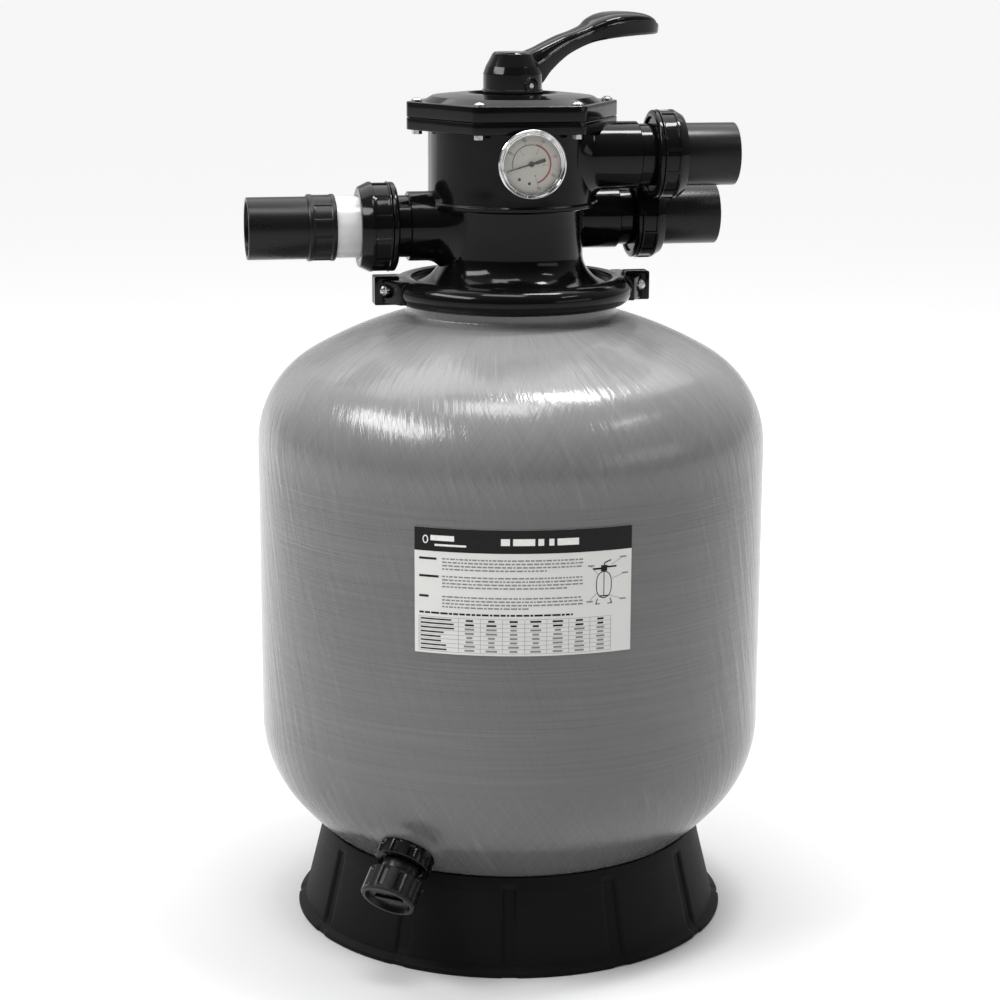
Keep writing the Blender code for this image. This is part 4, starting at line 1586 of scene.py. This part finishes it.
@dataclass
class ValveBody(Assembly):
    """Six-way body: waisted lower drum, wider upper drum, six-cornered deck and three ports."""

    lower_r: float = 0.0630
    upper_r: float = 0.0744
    waist_z: float = 0.6490
    deck_low: float = 0.7165
    deck_high: float = 0.7270
    joint_z: float = 0.5750
    screw_circle: float = 0.0850
    corner_r: float = 0.0090
    gauge_z: float = 0.6926
    ports: tuple[Port, ...] = (
        Port("pump", 0.0295, 0.0090, 0.0744, 0.1070, 0.1215),
        Port("return", 0.0300, 0.0070, 0.0630, 0.1030, 0.1175, bore_from=0.066),
        Port("waste", 0.0305, 0.0150, 0.0630, 0.0940, 0.1070, bore_from=0.045))

    def plate_outline(self) -> list[tuple[float, float]]:
        """The rounded hexagon shared by the deck and the lid.

        Returns:
            Points (x, y).
        """
        outline = []
        for corner in range(6):
            turn = math.radians(60 * corner)
            outline += arc(self.screw_circle * math.cos(turn), self.screw_circle * math.sin(turn),
                           self.corner_r, 60 * corner - 30, 60 * corner + 30, 10)
        return outline

    def screw_places(self) -> list[tuple[float, float]]:
        """Where the lid's screws stand."""
        return [(self.screw_circle * math.cos(a), self.screw_circle * math.sin(a))
                for a in (math.radians(60 * corner) for corner in range(6))]

    def holes(self, low: float, high: float, radius: float = 0.0030) -> list[Shape]:
        """Cutters for the screw holes, or for the nuts' pockets when wider."""
        return [rod(radius, low, high, steps=24).shifted(x, y, 0) for x, y in self.screw_places()]

    def outside(self) -> Shape:
        """The turned body with its deck, ports and gauge boss.

        Returns:
            The solid, before it is hollowed.
        """
        flare = arc(0.0895, 0.6080, 0.0265, 262, 180, 20)
        side = [(0, self.joint_z), (0.0980, self.joint_z, 0.0006), (0.0980, 0.5820, 0.0010),
                (0.0885, 0.5822, 0.0008), *flare, (self.lower_r, self.waist_z - 0.0006, 0.0020),
                (0.0722, self.waist_z - 0.0004, 0.0007), (0.0758, self.waist_z + 0.0012, 0.0009),
                (0.0758, self.waist_z + 0.0040, 0.0009), (self.upper_r, self.waist_z + 0.0054, 0.0008),
                (self.upper_r, self.deck_low + 0.0030), (0, self.deck_low + 0.0030)]
        drum = Shape.turned(eased(side), 144)
        deck = Shape.prism(self.plate_outline(), self.deck_low, self.deck_high, 0.0008)
        spigot = rod(0.0735, 0.5620, 0.5800, 0.0008, 96).turned_about_z(1.1)
        boss = rod(0.0140, 0.0690, 0.0826, 0.0010).along((0, -1, 0), (0, 0, self.gauge_z))
        return drum.joined(deck, spigot, boss, *(port.shape() for port in self.ports))

    def hollows(self) -> list[Shape]:
        """The chamber, the way down to the standpipe, the six channels and the bores.

        Returns:
            The cutters.
        """
        chamber = Shape.turned([(0, 0.6600), (0.0660, 0.6600), (0.0660, 0.7245), (0.0708, 0.7245),
                                (0.0708, 0.7400), (0, 0.7400)], 96).turned_about_z(1.7)
        plenum = Shape.turned([(0, 0.5500), (0.0660, 0.5500), (0.0660, 0.5900), (0.0310, 0.5900),
                               (0.0310, 0.5740), (0.0255, 0.5740), (0.0255, 0.6380), (0, 0.6380)],
                              96).turned_about_z(1.7)
        channels = [sector(0.0320, 0.0575, middle - 26, middle + 26,
                           0.5850 if middle % 120 == 0 else 0.5960, 0.70) for middle in range(0, 360, 60)]
        gauge_hole = rod(0.0072, 0.050, 0.090, steps=32).along((0, -1, 0), (0, 0, self.gauge_z))
        return [chamber, plenum, *channels, gauge_hole, *self.holes(0.7000, 0.7165, 0.0060),
                *self.holes(0.70, 0.74), *(port.bore() for port in self.ports)]

    def build(self) -> None:
        """Make the body."""
        self.fine("valve_body", self.outside().cut(*self.hollows()), GLOSS, Slot.GLOSS, sharp=24.0)


@dataclass
class ValveLid(Assembly):
    """Six-cornered cover with a raised round crown, its screws and nuts."""

    body: ValveBody
    low: float = 0.7273
    high: float = 0.7408
    recess_z: float = 0.7440
    stem_hole: float = 0.0077

    def build(self) -> None:
        """Make the cover, its six screws and six nuts."""
        plate = Shape.prism(self.body.plate_outline(), self.low, self.high, 0.0010)
        plate = plate.cut(rod(0.0662, 0.70, 0.76, steps=96).turned_about_z(1.3))
        crown = Shape.turned(eased([
            (0.0655, 0.7300), (0.0790, 0.7300), (0.0790, self.high - 0.0002, 0.0004),
            (0.0710, 0.7452, 0.0020), (0.0500, 0.7473, 0.0040), (0.0390, 0.7480, 0.0008),
            (0.0376, self.recess_z, 0.0006), (self.stem_hole, self.recess_z, 0.0004),
            (self.stem_hole, 0.7418), (0.0110, 0.7418), (0.0110, 0.7380), (0.0635, 0.7380)], True), 144)
        solid = plate.joined(crown).cut(*self.body.holes(0.70, 0.76))
        self.fine("valve_lid", solid, GLOSS, Slot.GLOSS, sharp=28.0)
        for index, (x, y) in enumerate(self.body.screw_places(), 1):
            screw = Screw().shape(0.0285).turned_about_z(23.0 * index).shifted(x, y, self.high + 0.0003)
            self.fine(f"lid_screw_{index}", screw, ZINC, Slot.ZINC)
            nut = nut_shape(0.0047, 0.7125, 0.7162, 0.0027).turned_about_z(11.0 * index).shifted(x, y, 0)
            self.fine(f"lid_nut_{index}", nut, ZINC, Slot.ZINC)


@dataclass
class Handle(Assembly):
    """Lever that lifts and turns the diverter; local X is the arm and local Y the cross pin."""

    hub_r: float = 0.0268
    hub_low: float = -0.0085
    hub_high: float = 0.0285
    cavity_r: float = 0.0098
    cavity_high: float = 0.0125
    pin_r: float = 0.0027
    ledge: float = 0.0024
    ledge_share: float = 0.64
    stations: tuple[tuple[float, float, float, float], ...] = (      # along, underside, top, half width
        (0.008, -0.0060, 0.0272, 0.0118), (0.018, -0.0045, 0.0296, 0.0120),
        (0.027, 0.0010, 0.0322, 0.0118), (0.037, 0.0110, 0.0358, 0.0116),
        (0.054, 0.0228, 0.0415, 0.0116), (0.070, 0.0297, 0.0455, 0.0118),
        (0.085, 0.0345, 0.0502, 0.0135), (0.098, 0.0372, 0.0562, 0.0195),
        (0.112, 0.0388, 0.0603, 0.0235), (0.128, 0.0398, 0.0615, 0.0245),
        (0.145, 0.0404, 0.0600, 0.0230), (0.158, 0.0407, 0.0565, 0.0180),
        (0.166, 0.0413, 0.0515, 0.0115), (0.169, 0.0425, 0.0475, 0.0045))

    def place(self) -> Matrix:
        """The handle's frame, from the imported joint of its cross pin.

        Returns:
            The frame, in the scene.
        """
        entry = joint("handle_press")
        axis = Vector(entry["axis"])
        turn = rotation("Z", math.degrees(math.atan2(axis.y, axis.x)) - 90)
        return Matrix.Translation(entry["pos_m"]) @ turn

    def section(self, along: float, under: float, over: float,
                half: float) -> list[tuple[float, float, float]]:
        """One ring of the arm: a crowned top over a narrow ledge, and sides that draw in below.

        Args:
            along: distance from the pin.
            under: height of the underside.
            over: height of the top.
            half: half the width.

        Returns:
            The ring of points.
        """
        rise = over - under
        edge_z = under + rise * self.ledge_share
        ledge = min(self.ledge, half * 0.3)
        right = [(half * 0.78, under), (half * 0.88, under + rise * 0.03),
                 (half * 0.94, under + rise * 0.12), (half * 0.985, edge_z - 0.0022),
                 (half, edge_z - 0.0008), (half - 0.0003, edge_z), (half - ledge, edge_z + 0.0004)]
        inner = half - ledge
        for step in range(1, 14):
            turn = math.radians(90.0 * step / 14)
            right.append((inner * squared(math.cos(turn), 0.62),
                          edge_z + 0.0004 + (over - edge_z - 0.0004) * squared(math.sin(turn), 0.85)))
        left = [(-y, z) for y, z in right[::-1]]
        return [(along, y, z) for y, z in [*right, (0.0, over), *left]]

    def build(self) -> None:
        """Make the lever."""
        place = self.place()
        hub = Shape.turned(eased([
            (0, self.cavity_high), (self.cavity_r, self.cavity_high), (self.cavity_r, self.hub_low),
            (self.hub_r, self.hub_low, 0.0008), (self.hub_r, -0.0040, 0.0005),
            (self.hub_r - 0.0010, -0.0034), (self.hub_r - 0.0010, 0.0098, 0.0030),
            (0.0236, 0.0160, 0.0040), (0.0178, 0.0268, 0.0016), (0.0160, self.hub_high, 0.0012),
            (0, self.hub_high)], steps=6), 96)
        arm = Shape.lofted([self.section(*row) for row in spread(self.stations, 8)])
        cheeks = [rod(0.0076, 0.0180, 0.0262, 0.0010, 48).along((0, side, 0)) for side in (-1, 1)]
        solid = hub.joined(arm.softened(0.0005, 2, 55.0), *cheeks)
        bore = rod(self.cavity_r, self.hub_low - 0.01, self.cavity_high, steps=60).turned_about_z(2.2)
        pin_hole = rod(self.pin_r + 0.0003, -0.05, 0.05, steps=32).along((0, 1, 0))
        self.fine("handle", solid.cut(bore, pin_hole), GLOSS, Slot.GLOSS, place, "lever", sharp=26.0)
        pin = rod(self.pin_r, -0.0258, 0.0258, 0.0005, 36).along((0, 1, 0))
        self.fine("handle_pin", pin, ZINC, Slot.ZINC, place, "diverter")


@dataclass
class PressureGauge(Assembly):
    """Dial gauge on the front of the body; local Z points out and local Y up."""

    case_r: float = 0.0284
    bezel_r: float = 0.0295
    opening_r: float = 0.0248
    dial_r: float = 0.0256
    dial_z: float = 0.0862
    ink_rise: float = 0.00006
    scale_r: float = 0.0160
    zero: float = 198.0
    sweep: float = 270.0
    top_mark: int = 60
    needle_rest: float = 196.0
    shapes: dict[Ink, list[Shape]] = field(default_factory=lambda: {ink: [] for ink in Ink})

    def __post_init__(self) -> None:
        """Take the gauge's height from its packed needle joint."""
        self.place = VALVE @ Matrix.Translation((0, 0, joint("gauge_needle_turn")["pos_m"][2]))
        self.place = self.place @ rotation("X", 90)

    def band(self, ink: Ink, inner: float, outer: float, start: float, end: float) -> None:
        """Print a slice of a ring between two angles in degrees.

        Args:
            ink: the ink.
            inner: inner radius.
            outer: outer radius.
            start: first angle.
            end: last angle.
        """
        count = max(1, round(abs(end - start) / 4))
        low, high = self.dial_z, self.dial_z + self.ink_rise
        rings = []
        for step in range(count + 1):
            turn = math.radians(start + (end - start) * step / count)
            rings.append([(r * math.cos(turn), r * math.sin(turn), z)
                          for r, z in ((inner, low), (outer, low), (outer, high), (inner, high))])
        self.shapes[ink].append(Shape.lofted(rings))

    def number(self, ink: Ink, text: str, x: float, y: float, size: float) -> None:
        """Print a number on the dial, upright where zero is at the lower left.

        Args:
            ink: the ink.
            text: the digits.
            x: place to the right.
            y: place upwards.
            size: height of a line.
        """
        curve = bpy.data.curves.new("number", "FONT")
        curve.body = text
        curve.size = size
        curve.align_x = "CENTER"
        curve.align_y = "CENTER"
        curve.extrude = self.ink_rise / 2
        holder = bpy.data.objects.new("number", curve)
        bpy.context.scene.collection.objects.link(holder)
        data = bpy.data.meshes.new_from_object(holder.evaluated_get(bpy.context.evaluated_depsgraph_get()))
        mesh = bmesh.new()
        mesh.from_mesh(data)
        bmesh.ops.remove_doubles(mesh, verts=mesh.verts, dist=1e-6)
        bpy.data.objects.remove(holder)
        bpy.data.curves.remove(curve)
        bpy.data.meshes.remove(data)
        turned = Shape(mesh).turned_about_z(self.zero - 225.0)
        self.shapes[ink].append(turned.shifted(x, y, self.dial_z + self.ink_rise / 2))

    def scales(self) -> None:
        """Print both scales: dark below the working limit and red above it."""
        per_mark = self.sweep / self.top_mark
        limit = 27
        self.band(Ink.BLACK, self.scale_r, self.scale_r + 0.0006, self.zero, self.zero - limit * per_mark)
        self.band(Ink.RED, self.scale_r - 0.0002, self.scale_r + 0.0012, self.zero - limit * per_mark,
                  self.zero - self.sweep)
        for mark in range(0, self.top_mark + 1, 2):
            angle = self.zero - mark * per_mark
            major = mark % 10 == 0
            ink = Ink.BLACK if mark < limit else Ink.RED
            reach, half = (0.0030, 0.55) if major else (0.0017, 0.30)
            self.band(ink, self.scale_r + 0.0004, self.scale_r + reach, angle - half, angle + half)
            if major:
                turn = math.radians(angle)
                self.number(ink, str(mark), 0.0212 * math.cos(turn), 0.0212 * math.sin(turn), 0.0036)
        for mark in range(5):
            turn = math.radians(self.zero - self.sweep * mark / 4)
            self.band(Ink.BLACK, 0.0128, 0.0148, math.degrees(turn) - 0.5, math.degrees(turn) + 0.5)
            self.number(Ink.BLACK, str(mark), 0.0106 * math.cos(turn), 0.0106 * math.sin(turn), 0.0030)
        for side in (-1, 1):
            turn = math.radians(self.zero + 49.5 + side * 16.5)
            dot = rod(0.0013, self.dial_z, self.dial_z + 0.0004, 0.0002, 20)
            self.shapes[Ink.BLACK].append(dot.shifted(0.0165 * math.cos(turn), 0.0165 * math.sin(turn), 0))

    def build(self) -> None:
        """Make the case, dial, print, bezel, lens and needle."""
        case = eased([(0, 0.0600), (0.0065, 0.0600), (0.0065, 0.0832), (0.0266, 0.0832, 0.0012),
                      (self.case_r, 0.0845, 0.0008), (self.case_r, 0.0898, 0.0003), (0.0262, 0.0898),
                      (0.0262, 0.0846), (0, 0.0846)])
        self.fine("gauge_case", Shape.turned(case, 96), GLOSS, Slot.GLOSS, self.place)
        dial = [(0.0014, 0.0855), (self.dial_r, 0.0855), (self.dial_r, self.dial_z), (0.0014, self.dial_z)]
        self.fine("gauge_dial", Shape.turned(dial, 96), DIAL, Slot.DIAL, self.place)
        self.scales()
        for ink in (Ink.BLACK, Ink.RED):
            first, *others = self.shapes[ink]
            self.piece(f"gauge_print_{ink.value}", first.beside(*others), INK_FINISH[ink], Slot.DIAL,
                       self.place)
        bezel = eased([(0.0288, 0.0865), (self.bezel_r, 0.0865, 0.0004), (self.bezel_r, 0.0920, 0.0006),
                       (0.0285, 0.0928, 0.0004), (0.0277, 0.0925, 0.0002), (0.0272, 0.0917, 0.0004),
                       (0.0262, 0.0915, 0.0003), (0.0257, 0.0919, 0.0002), (self.opening_r, 0.0916, 0.0002),
                       (self.opening_r, 0.0912), (0.0288, 0.0912)], True)
        self.fine("gauge_bezel", Shape.turned(bezel, 120), CHROME, Slot.CHROME, self.place)
        lens = [(0, 0.0901), (0.0282, 0.0901), (0.0282, 0.0909), (0.0244, 0.0909)]
        lens += [(0.0244 * math.cos(a), 0.0909 + 0.0006 * math.sin(a))
                 for a in (math.radians(9 * step) for step in range(1, 11))]
        lens[-1] = (0, lens[-1][1])
        self.fine("gauge_lens", Shape.turned(lens, 96), LENS, Slot.LENS, self.place)
        self.needle()

    def needle(self) -> None:
        """Make the pointer with its counterweight and hub."""
        outline = [(-0.0124, -0.0014), (-0.0042, -0.0014), (-0.0030, -0.0008), (0.0204, -0.0002),
                   (0.0204, 0.0002), (-0.0030, 0.0008), (-0.0042, 0.0014), (-0.0124, 0.0014)]
        blade = Shape.prism(outline, 0.0870, 0.0876)
        hub = Shape.turned(eased([(0, 0.0849), (0.0010, 0.0849), (0.0010, 0.0867), (0.0024, 0.0867),
                                  (0.0024, 0.0884, 0.0006), (0, 0.0884)]), 40)
        self.fine("gauge_needle", blade.joined(hub), NEEDLE, Slot.NEEDLE,
                  self.place @ rotation("Z", self.needle_rest), "needle")


@dataclass
class Plumbing(Assembly):
    """Union nuts, pipe tails, the sight glass and its coupling."""

    valve: ValveBody
    nut_r: float = 0.0395
    pads: int = 12
    pad_sink: float = 0.0010
    ridge_half: float = 0.95
    flange_r: float = 0.0326
    flange: float = 0.0048
    gap: float = 0.0004
    pipe_r: float = 0.0275
    pipe_bore: float = 0.0240
    pipe_end: float = 0.1960
    waste_end: float = 0.2355

    def nut(self, port: Port, low: float, high: float, lip: float, hole: float) -> None:
        """Make one union nut: a rounded rim, twelve pads between ridges, and a chamfered end.

        Args:
            port: its port.
            low: inner end.
            high: outer end.
            lip: height of the lip that bears on the flange.
            hole: radius of the hole for the pipe.
        """
        scale = (high - low) / 0.0275
        pad_low, pad_high = low + 0.0062 * scale, low + 0.0180 * scale
        rim = self.nut_r - 0.0004
        corners = [(0.0336, low), (0.0362, low, 0.0004), (rim, low + 0.0014 * scale, 0.0016),
                   (rim, low + 0.0043 * scale, 0.0006), (rim - 0.0012, low + 0.0049 * scale),
                   (self.nut_r, low + 0.0054 * scale, 0.0003)]
        corners += [(self.nut_r, pad_low - 0.0001 + 0.0002 * step) for step in range(6)]
        corners += [(self.nut_r, pad_low + (pad_high - pad_low) * (0.2 + 0.6 * step / 6))
                    for step in range(7)]
        corners += [(self.nut_r, pad_high - 0.0009 + 0.0002 * step) for step in range(6)]
        corners += [(self.nut_r, low + 0.0198 * scale, 0.0005), (0.0352, high - 0.0004, 0.0010),
                    (0.0340, high, 0.0004), (hole, high, 0.0004), (hole, lip), (0.0336, lip)]

        def relief(degrees: float, r: float, z: float) -> float:
            """Sink the pads between the ridges.

            Args:
                degrees: angle round the piece, in degrees.
                r: radius of the point.
                z: height of the point.

            Returns:
                The change of radius, in metres.
            """
            if r < self.nut_r - 0.0001 or not pad_low - 0.0002 < z < pad_high + 0.0002:
                return 0.0
            off = abs((degrees * self.pads / 360.0 + 0.5) % 1.0 - 0.5) * 360.0 / self.pads
            inside = step_up(off, self.ridge_half, self.ridge_half + 0.9)
            ends = step_up(z, pad_low, pad_low + 0.0008) * (1 - step_up(z, pad_high - 0.0008, pad_high))
            return -self.pad_sink * inside * ends

        name = f"{port.name}_union_nut"
        shape = Shape.turned(eased(corners, True), 360, relief)
        self.fine(name, shape, GLOSS, Slot.GLOSS, port.place(), f"{port.name}_nut", sharp=28.0)

    def tail(self, port: Port) -> None:
        """Make the plain pipe end that a nut holds.

        Args:
            port: its port.
        """
        face = port.collar + port.collar_length + self.gap
        profile = [(self.pipe_bore, face), (self.flange_r, face, 0.0004),
                   (self.flange_r, face + self.flange, 0.0004), (self.pipe_r, face + self.flange),
                   (self.pipe_r, self.pipe_end, 0.0009), (self.pipe_bore, self.pipe_end, 0.0006)]
        self.fine(f"{port.name}_tailpiece", Shape.turned(eased(profile, True), 120), SATIN, Slot.SATIN,
                  port.place())

    def sight(self, port: Port) -> None:
        """Make the clear tube on the waste port, and the ribbed coupling on its end.

        Args:
            port: its port.
        """
        place = port.place()
        glass = [(0.0232, 0.1194), (self.flange_r, 0.1194), (self.flange_r, 0.1228),
                 (0.0270, 0.1228, 0.0005), (0.0270, 0.1585, 0.0004), (0.0258, 0.1585),
                 (0.0258, 0.1780), (0.0232, 0.1780)]
        self.fine("sight_glass", Shape.turned(eased(glass, True), 120), SIGHT, Slot.LENS, place)
        collar, ribs = 0.0293, 12
        low, high = 0.1588, 0.1832
        corners = [(0.0262, low), (0.0286, low, 0.0005), (collar, low + 0.0009, 0.0004)]
        corners += [(collar, low + 0.0034 + 0.0010 * step) for step in range(18)]
        corners += [(collar, high - 0.0012, 0.0005), (0.0285, high, 0.0006), (0.0273, high),
                    (0.0273, self.waste_end, 0.0009), (self.pipe_bore, self.waste_end, 0.0006),
                    (self.pipe_bore, 0.1784), (0.0262, 0.1784)]

        def relief(degrees: float, r: float, z: float) -> float:
            """Sink shallow flats between the collar's ribs.

            Args:
                degrees: angle round the piece, in degrees.
                r: radius of the point.
                z: height of the point.

            Returns:
                The change of radius, in metres.
            """
            if r < collar - 0.0001 or not low + 0.0030 < z < high - 0.0036:
                return 0.0
            off = abs((degrees * ribs / 360.0 + 0.5) % 1.0 - 0.5) * 2
            ends = step_up(z, low + 0.0034, low + 0.0044) * (1 - step_up(z, high - 0.0052, high - 0.0042))
            return -0.0007 * step_up(off, 0.06, 0.14) * ends

        self.fine("waste_coupling", Shape.turned(eased(corners, True), 288, relief), SATIN, Slot.SATIN,
                  place)

    def build(self) -> None:
        """Make everything on the three ports."""
        pump, back, waste = self.valve.ports
        for port in (pump, back):
            lip = port.collar + port.collar_length + self.gap + self.flange + self.gap
            self.nut(port, port.collar - 0.0020, port.collar + 0.0255, lip, 0.0280)
            self.tail(port)
        self.nut(waste, 0.1050, 0.1380, 0.1228 + self.gap, 0.0276)
        self.sight(waste)


@dataclass
class InnerPieces(Assembly):
    """Pieces hidden in the tank and the valve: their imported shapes, in better finishes."""

    finishes: tuple[tuple[Finish, tuple[str, ...]], ...] = (
        (WHITE, ("diverter", "handle_washer", "diffuser", "standpipe", "lateral_hub",
                 *(f"lateral_{number}" for number in range(1, 9)))),
        (RUBBER, ("neck_o_ring", "lid_gasket", "spider_gasket", "stem_seal", "drain_gasket")))
    coil_r: float = 0.0158
    wire_r: float = 0.0013
    turns: int = 5
    spring_top: float = 0.7374
    lift: float = 0.0070

    def spring(self) -> None:
        """Make the coil that presses the diverter down; it rides on the diverter at one fixed length."""
        low, high = (corner[2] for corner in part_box("spring"))
        steps, sides = self.turns * 48, 12
        rings = []
        for step in range(steps + 1):
            turn = math.tau * self.turns * step / steps
            height = low + self.wire_r + (high - low - 2 * self.wire_r) * step / steps
            rings.append([((self.coil_r + self.wire_r * math.cos(a)) * math.cos(turn),
                           (self.coil_r + self.wire_r * math.cos(a)) * math.sin(turn),
                           height + self.wire_r * math.sin(a))
                          for a in (math.tau * k / sides for k in range(sides))])
        coil = self.fine("spring", Shape.lofted(rings), STEEL, Slot.ZINC, WORLD, "diverter")
        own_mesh(coil)

    def build(self) -> None:
        """Give each its material, and make the spring."""
        self.spring()
        for finish, names in self.finishes:
            for name in names:
                dressed(frame["nodes"][name], finish)
            LOG.info("%s dresses %s", finish.name, ", ".join(names))


# ---------------------------------------------------------------- studio


@dataclass
class SoftBox:
    """A rectangular light that faces a point on the tank."""

    name: str
    azimuth: float
    elevation: float
    width: float
    height: float
    power: float
    distance: float = 2.0
    aim_z: float = 0.45

    def build(self) -> None:
        """Hang the light; azimuth is measured from the front, to the right."""
        turn, lift = math.radians(self.azimuth), math.radians(self.elevation)
        way = Vector((math.sin(turn) * math.cos(lift), -math.cos(turn) * math.cos(lift), math.sin(lift)))
        data = bpy.data.lights.new(self.name, "AREA")
        data.shape = "RECTANGLE"
        data.size = self.width
        data.size_y = self.height
        data.energy = self.power
        lamp = bpy.data.objects.new(self.name, data)
        lamp.location = Vector((0, 0, self.aim_z)) + way * self.distance
        lamp.rotation_euler = way.to_track_quat("Z", "Y").to_euler()
        bpy.context.scene.collection.objects.link(lamp)


@dataclass
class Studio:
    """Camera, pale sweep, lights and surroundings."""

    camera_place: tuple[float, float, float] = (-0.00956, -2.2009, 0.8790)
    pitch: float = 12.7506
    roll: float = 0.2226
    lens: float = 89.24
    sensor: float = 36.0
    floor_r: float = 60.0
    paper: float = 0.76
    paper_spread: float = 0.01
    far_glow: float = 0.60
    glow_scale: float = 0.05
    floor_sides: int = 64
    sky: tuple[tuple[float, float], ...] = ((0.25, 0.03), (0.50, 0.10), (0.86, 0.56))
    lights: tuple[SoftBox, ...] = (
        SoftBox("key_left", -66.0, 41.0, 1.4, 0.42, 27.0),
        SoftBox("top_front", -15.0, 74.0, 0.9, 0.5, 14.0),
        SoftBox("fill_right", 60.0, 14.0, 1.3, 0.30, 2.0),
        SoftBox("overhead_right", 94.0, 75.0, 0.30, 0.62, 24.0),
        SoftBox("glint_right", 66.0, 44.0, 0.50, 0.06, 2.2),
        SoftBox("overhead_back", 180.0, 64.0, 3.0, 1.6, 30.0),
        SoftBox("rim_left", -138.0, 14.0, 1.0, 2.0, 3.0),
        SoftBox("rim_right", 138.0, 14.0, 1.0, 2.0, 0.6))

    def camera(self) -> None:
        """Place the camera level with the valve, looking slightly down."""
        data = bpy.data.cameras.new("camera")
        data.lens = self.lens
        data.sensor_width = self.sensor
        made = bpy.data.objects.new("camera", data)
        made.matrix_world = (Matrix.Translation(self.camera_place) @ rotation("X", 90 - self.pitch)
                             @ rotation("Z", self.roll))
        bpy.context.scene.collection.objects.link(made)
        bpy.context.scene.camera = made

    def floor(self) -> None:
        """A wide, plain, pale floor that glows a little far from the lights."""
        mesh = bmesh.new()
        mesh.faces.new([mesh.verts.new((x, y, 0.0)) for x, y in circle(self.floor_r, self.floor_sides)])
        data = bpy.data.meshes.new("studio_floor")
        mesh.to_mesh(data)
        mesh.free()
        floor = bpy.data.objects.new("studio_floor", data)
        bpy.context.scene.collection.objects.link(floor)
        graph = Coating("studio_paper")
        place = graph.place()
        away = graph.add("ShaderNodeVectorMath", {"operation": "LENGTH"}, {0: place}, "Value")
        far = graph.ramp(away * self.glow_scale, (0.02, 0.0), (0.13, 1.0))
        tone = graph.mix(graph.noise(place, 3.0), grey(self.paper - self.paper_spread),
                         grey(self.paper + self.paper_spread))
        floor.data.materials.append(graph.finished(Base_Color=tone, Roughness=0.9, Emission_Color=far,
                                                   Emission_Strength=self.far_glow))

    def world(self) -> None:
        """Surroundings that are bright overhead and behind, and dim in front."""
        made = bpy.data.worlds.new("studio_world")
        made.use_nodes = True
        graph = Graph(made.node_tree)
        way = graph.add("ShaderNodeTexCoord", {}, {}, "Generated")
        rise = graph.add("ShaderNodeVectorMath", {"operation": "DOT_PRODUCT"},
                         {0: way, 1: (0.0, 0.30, 0.40)}, "Value")
        graph.feed(made.node_tree.nodes["Background"].inputs["Color"], graph.ramp(rise + 0.5, *self.sky))
        bpy.context.scene.world = made

    def build(self) -> None:
        """Set the whole studio."""
        self.camera()
        self.floor()
        self.world()
        for light in self.lights:
            light.build()
        bpy.context.scene.view_settings.view_transform = "Standard"


def main() -> None:
    """Build every sub-assembly in order."""
    logging.basicConfig(level=logging.INFO, format="%(name)s: %(message)s")
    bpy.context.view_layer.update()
    Studio().build()
    drain = DrainFitting()
    valve = ValveBody()
    parts: list[Assembly] = [BaseSkirt(), Tank(drain), RatingLabel(), drain, NeckClamp(), valve,
                             ValveLid(valve), Handle(), PressureGauge(), Plumbing(valve), InnerPieces()]
    for part in parts:
        LOG.info("building %s", type(part).__name__)
        part.build()


if __name__ == "__main__":
    main()
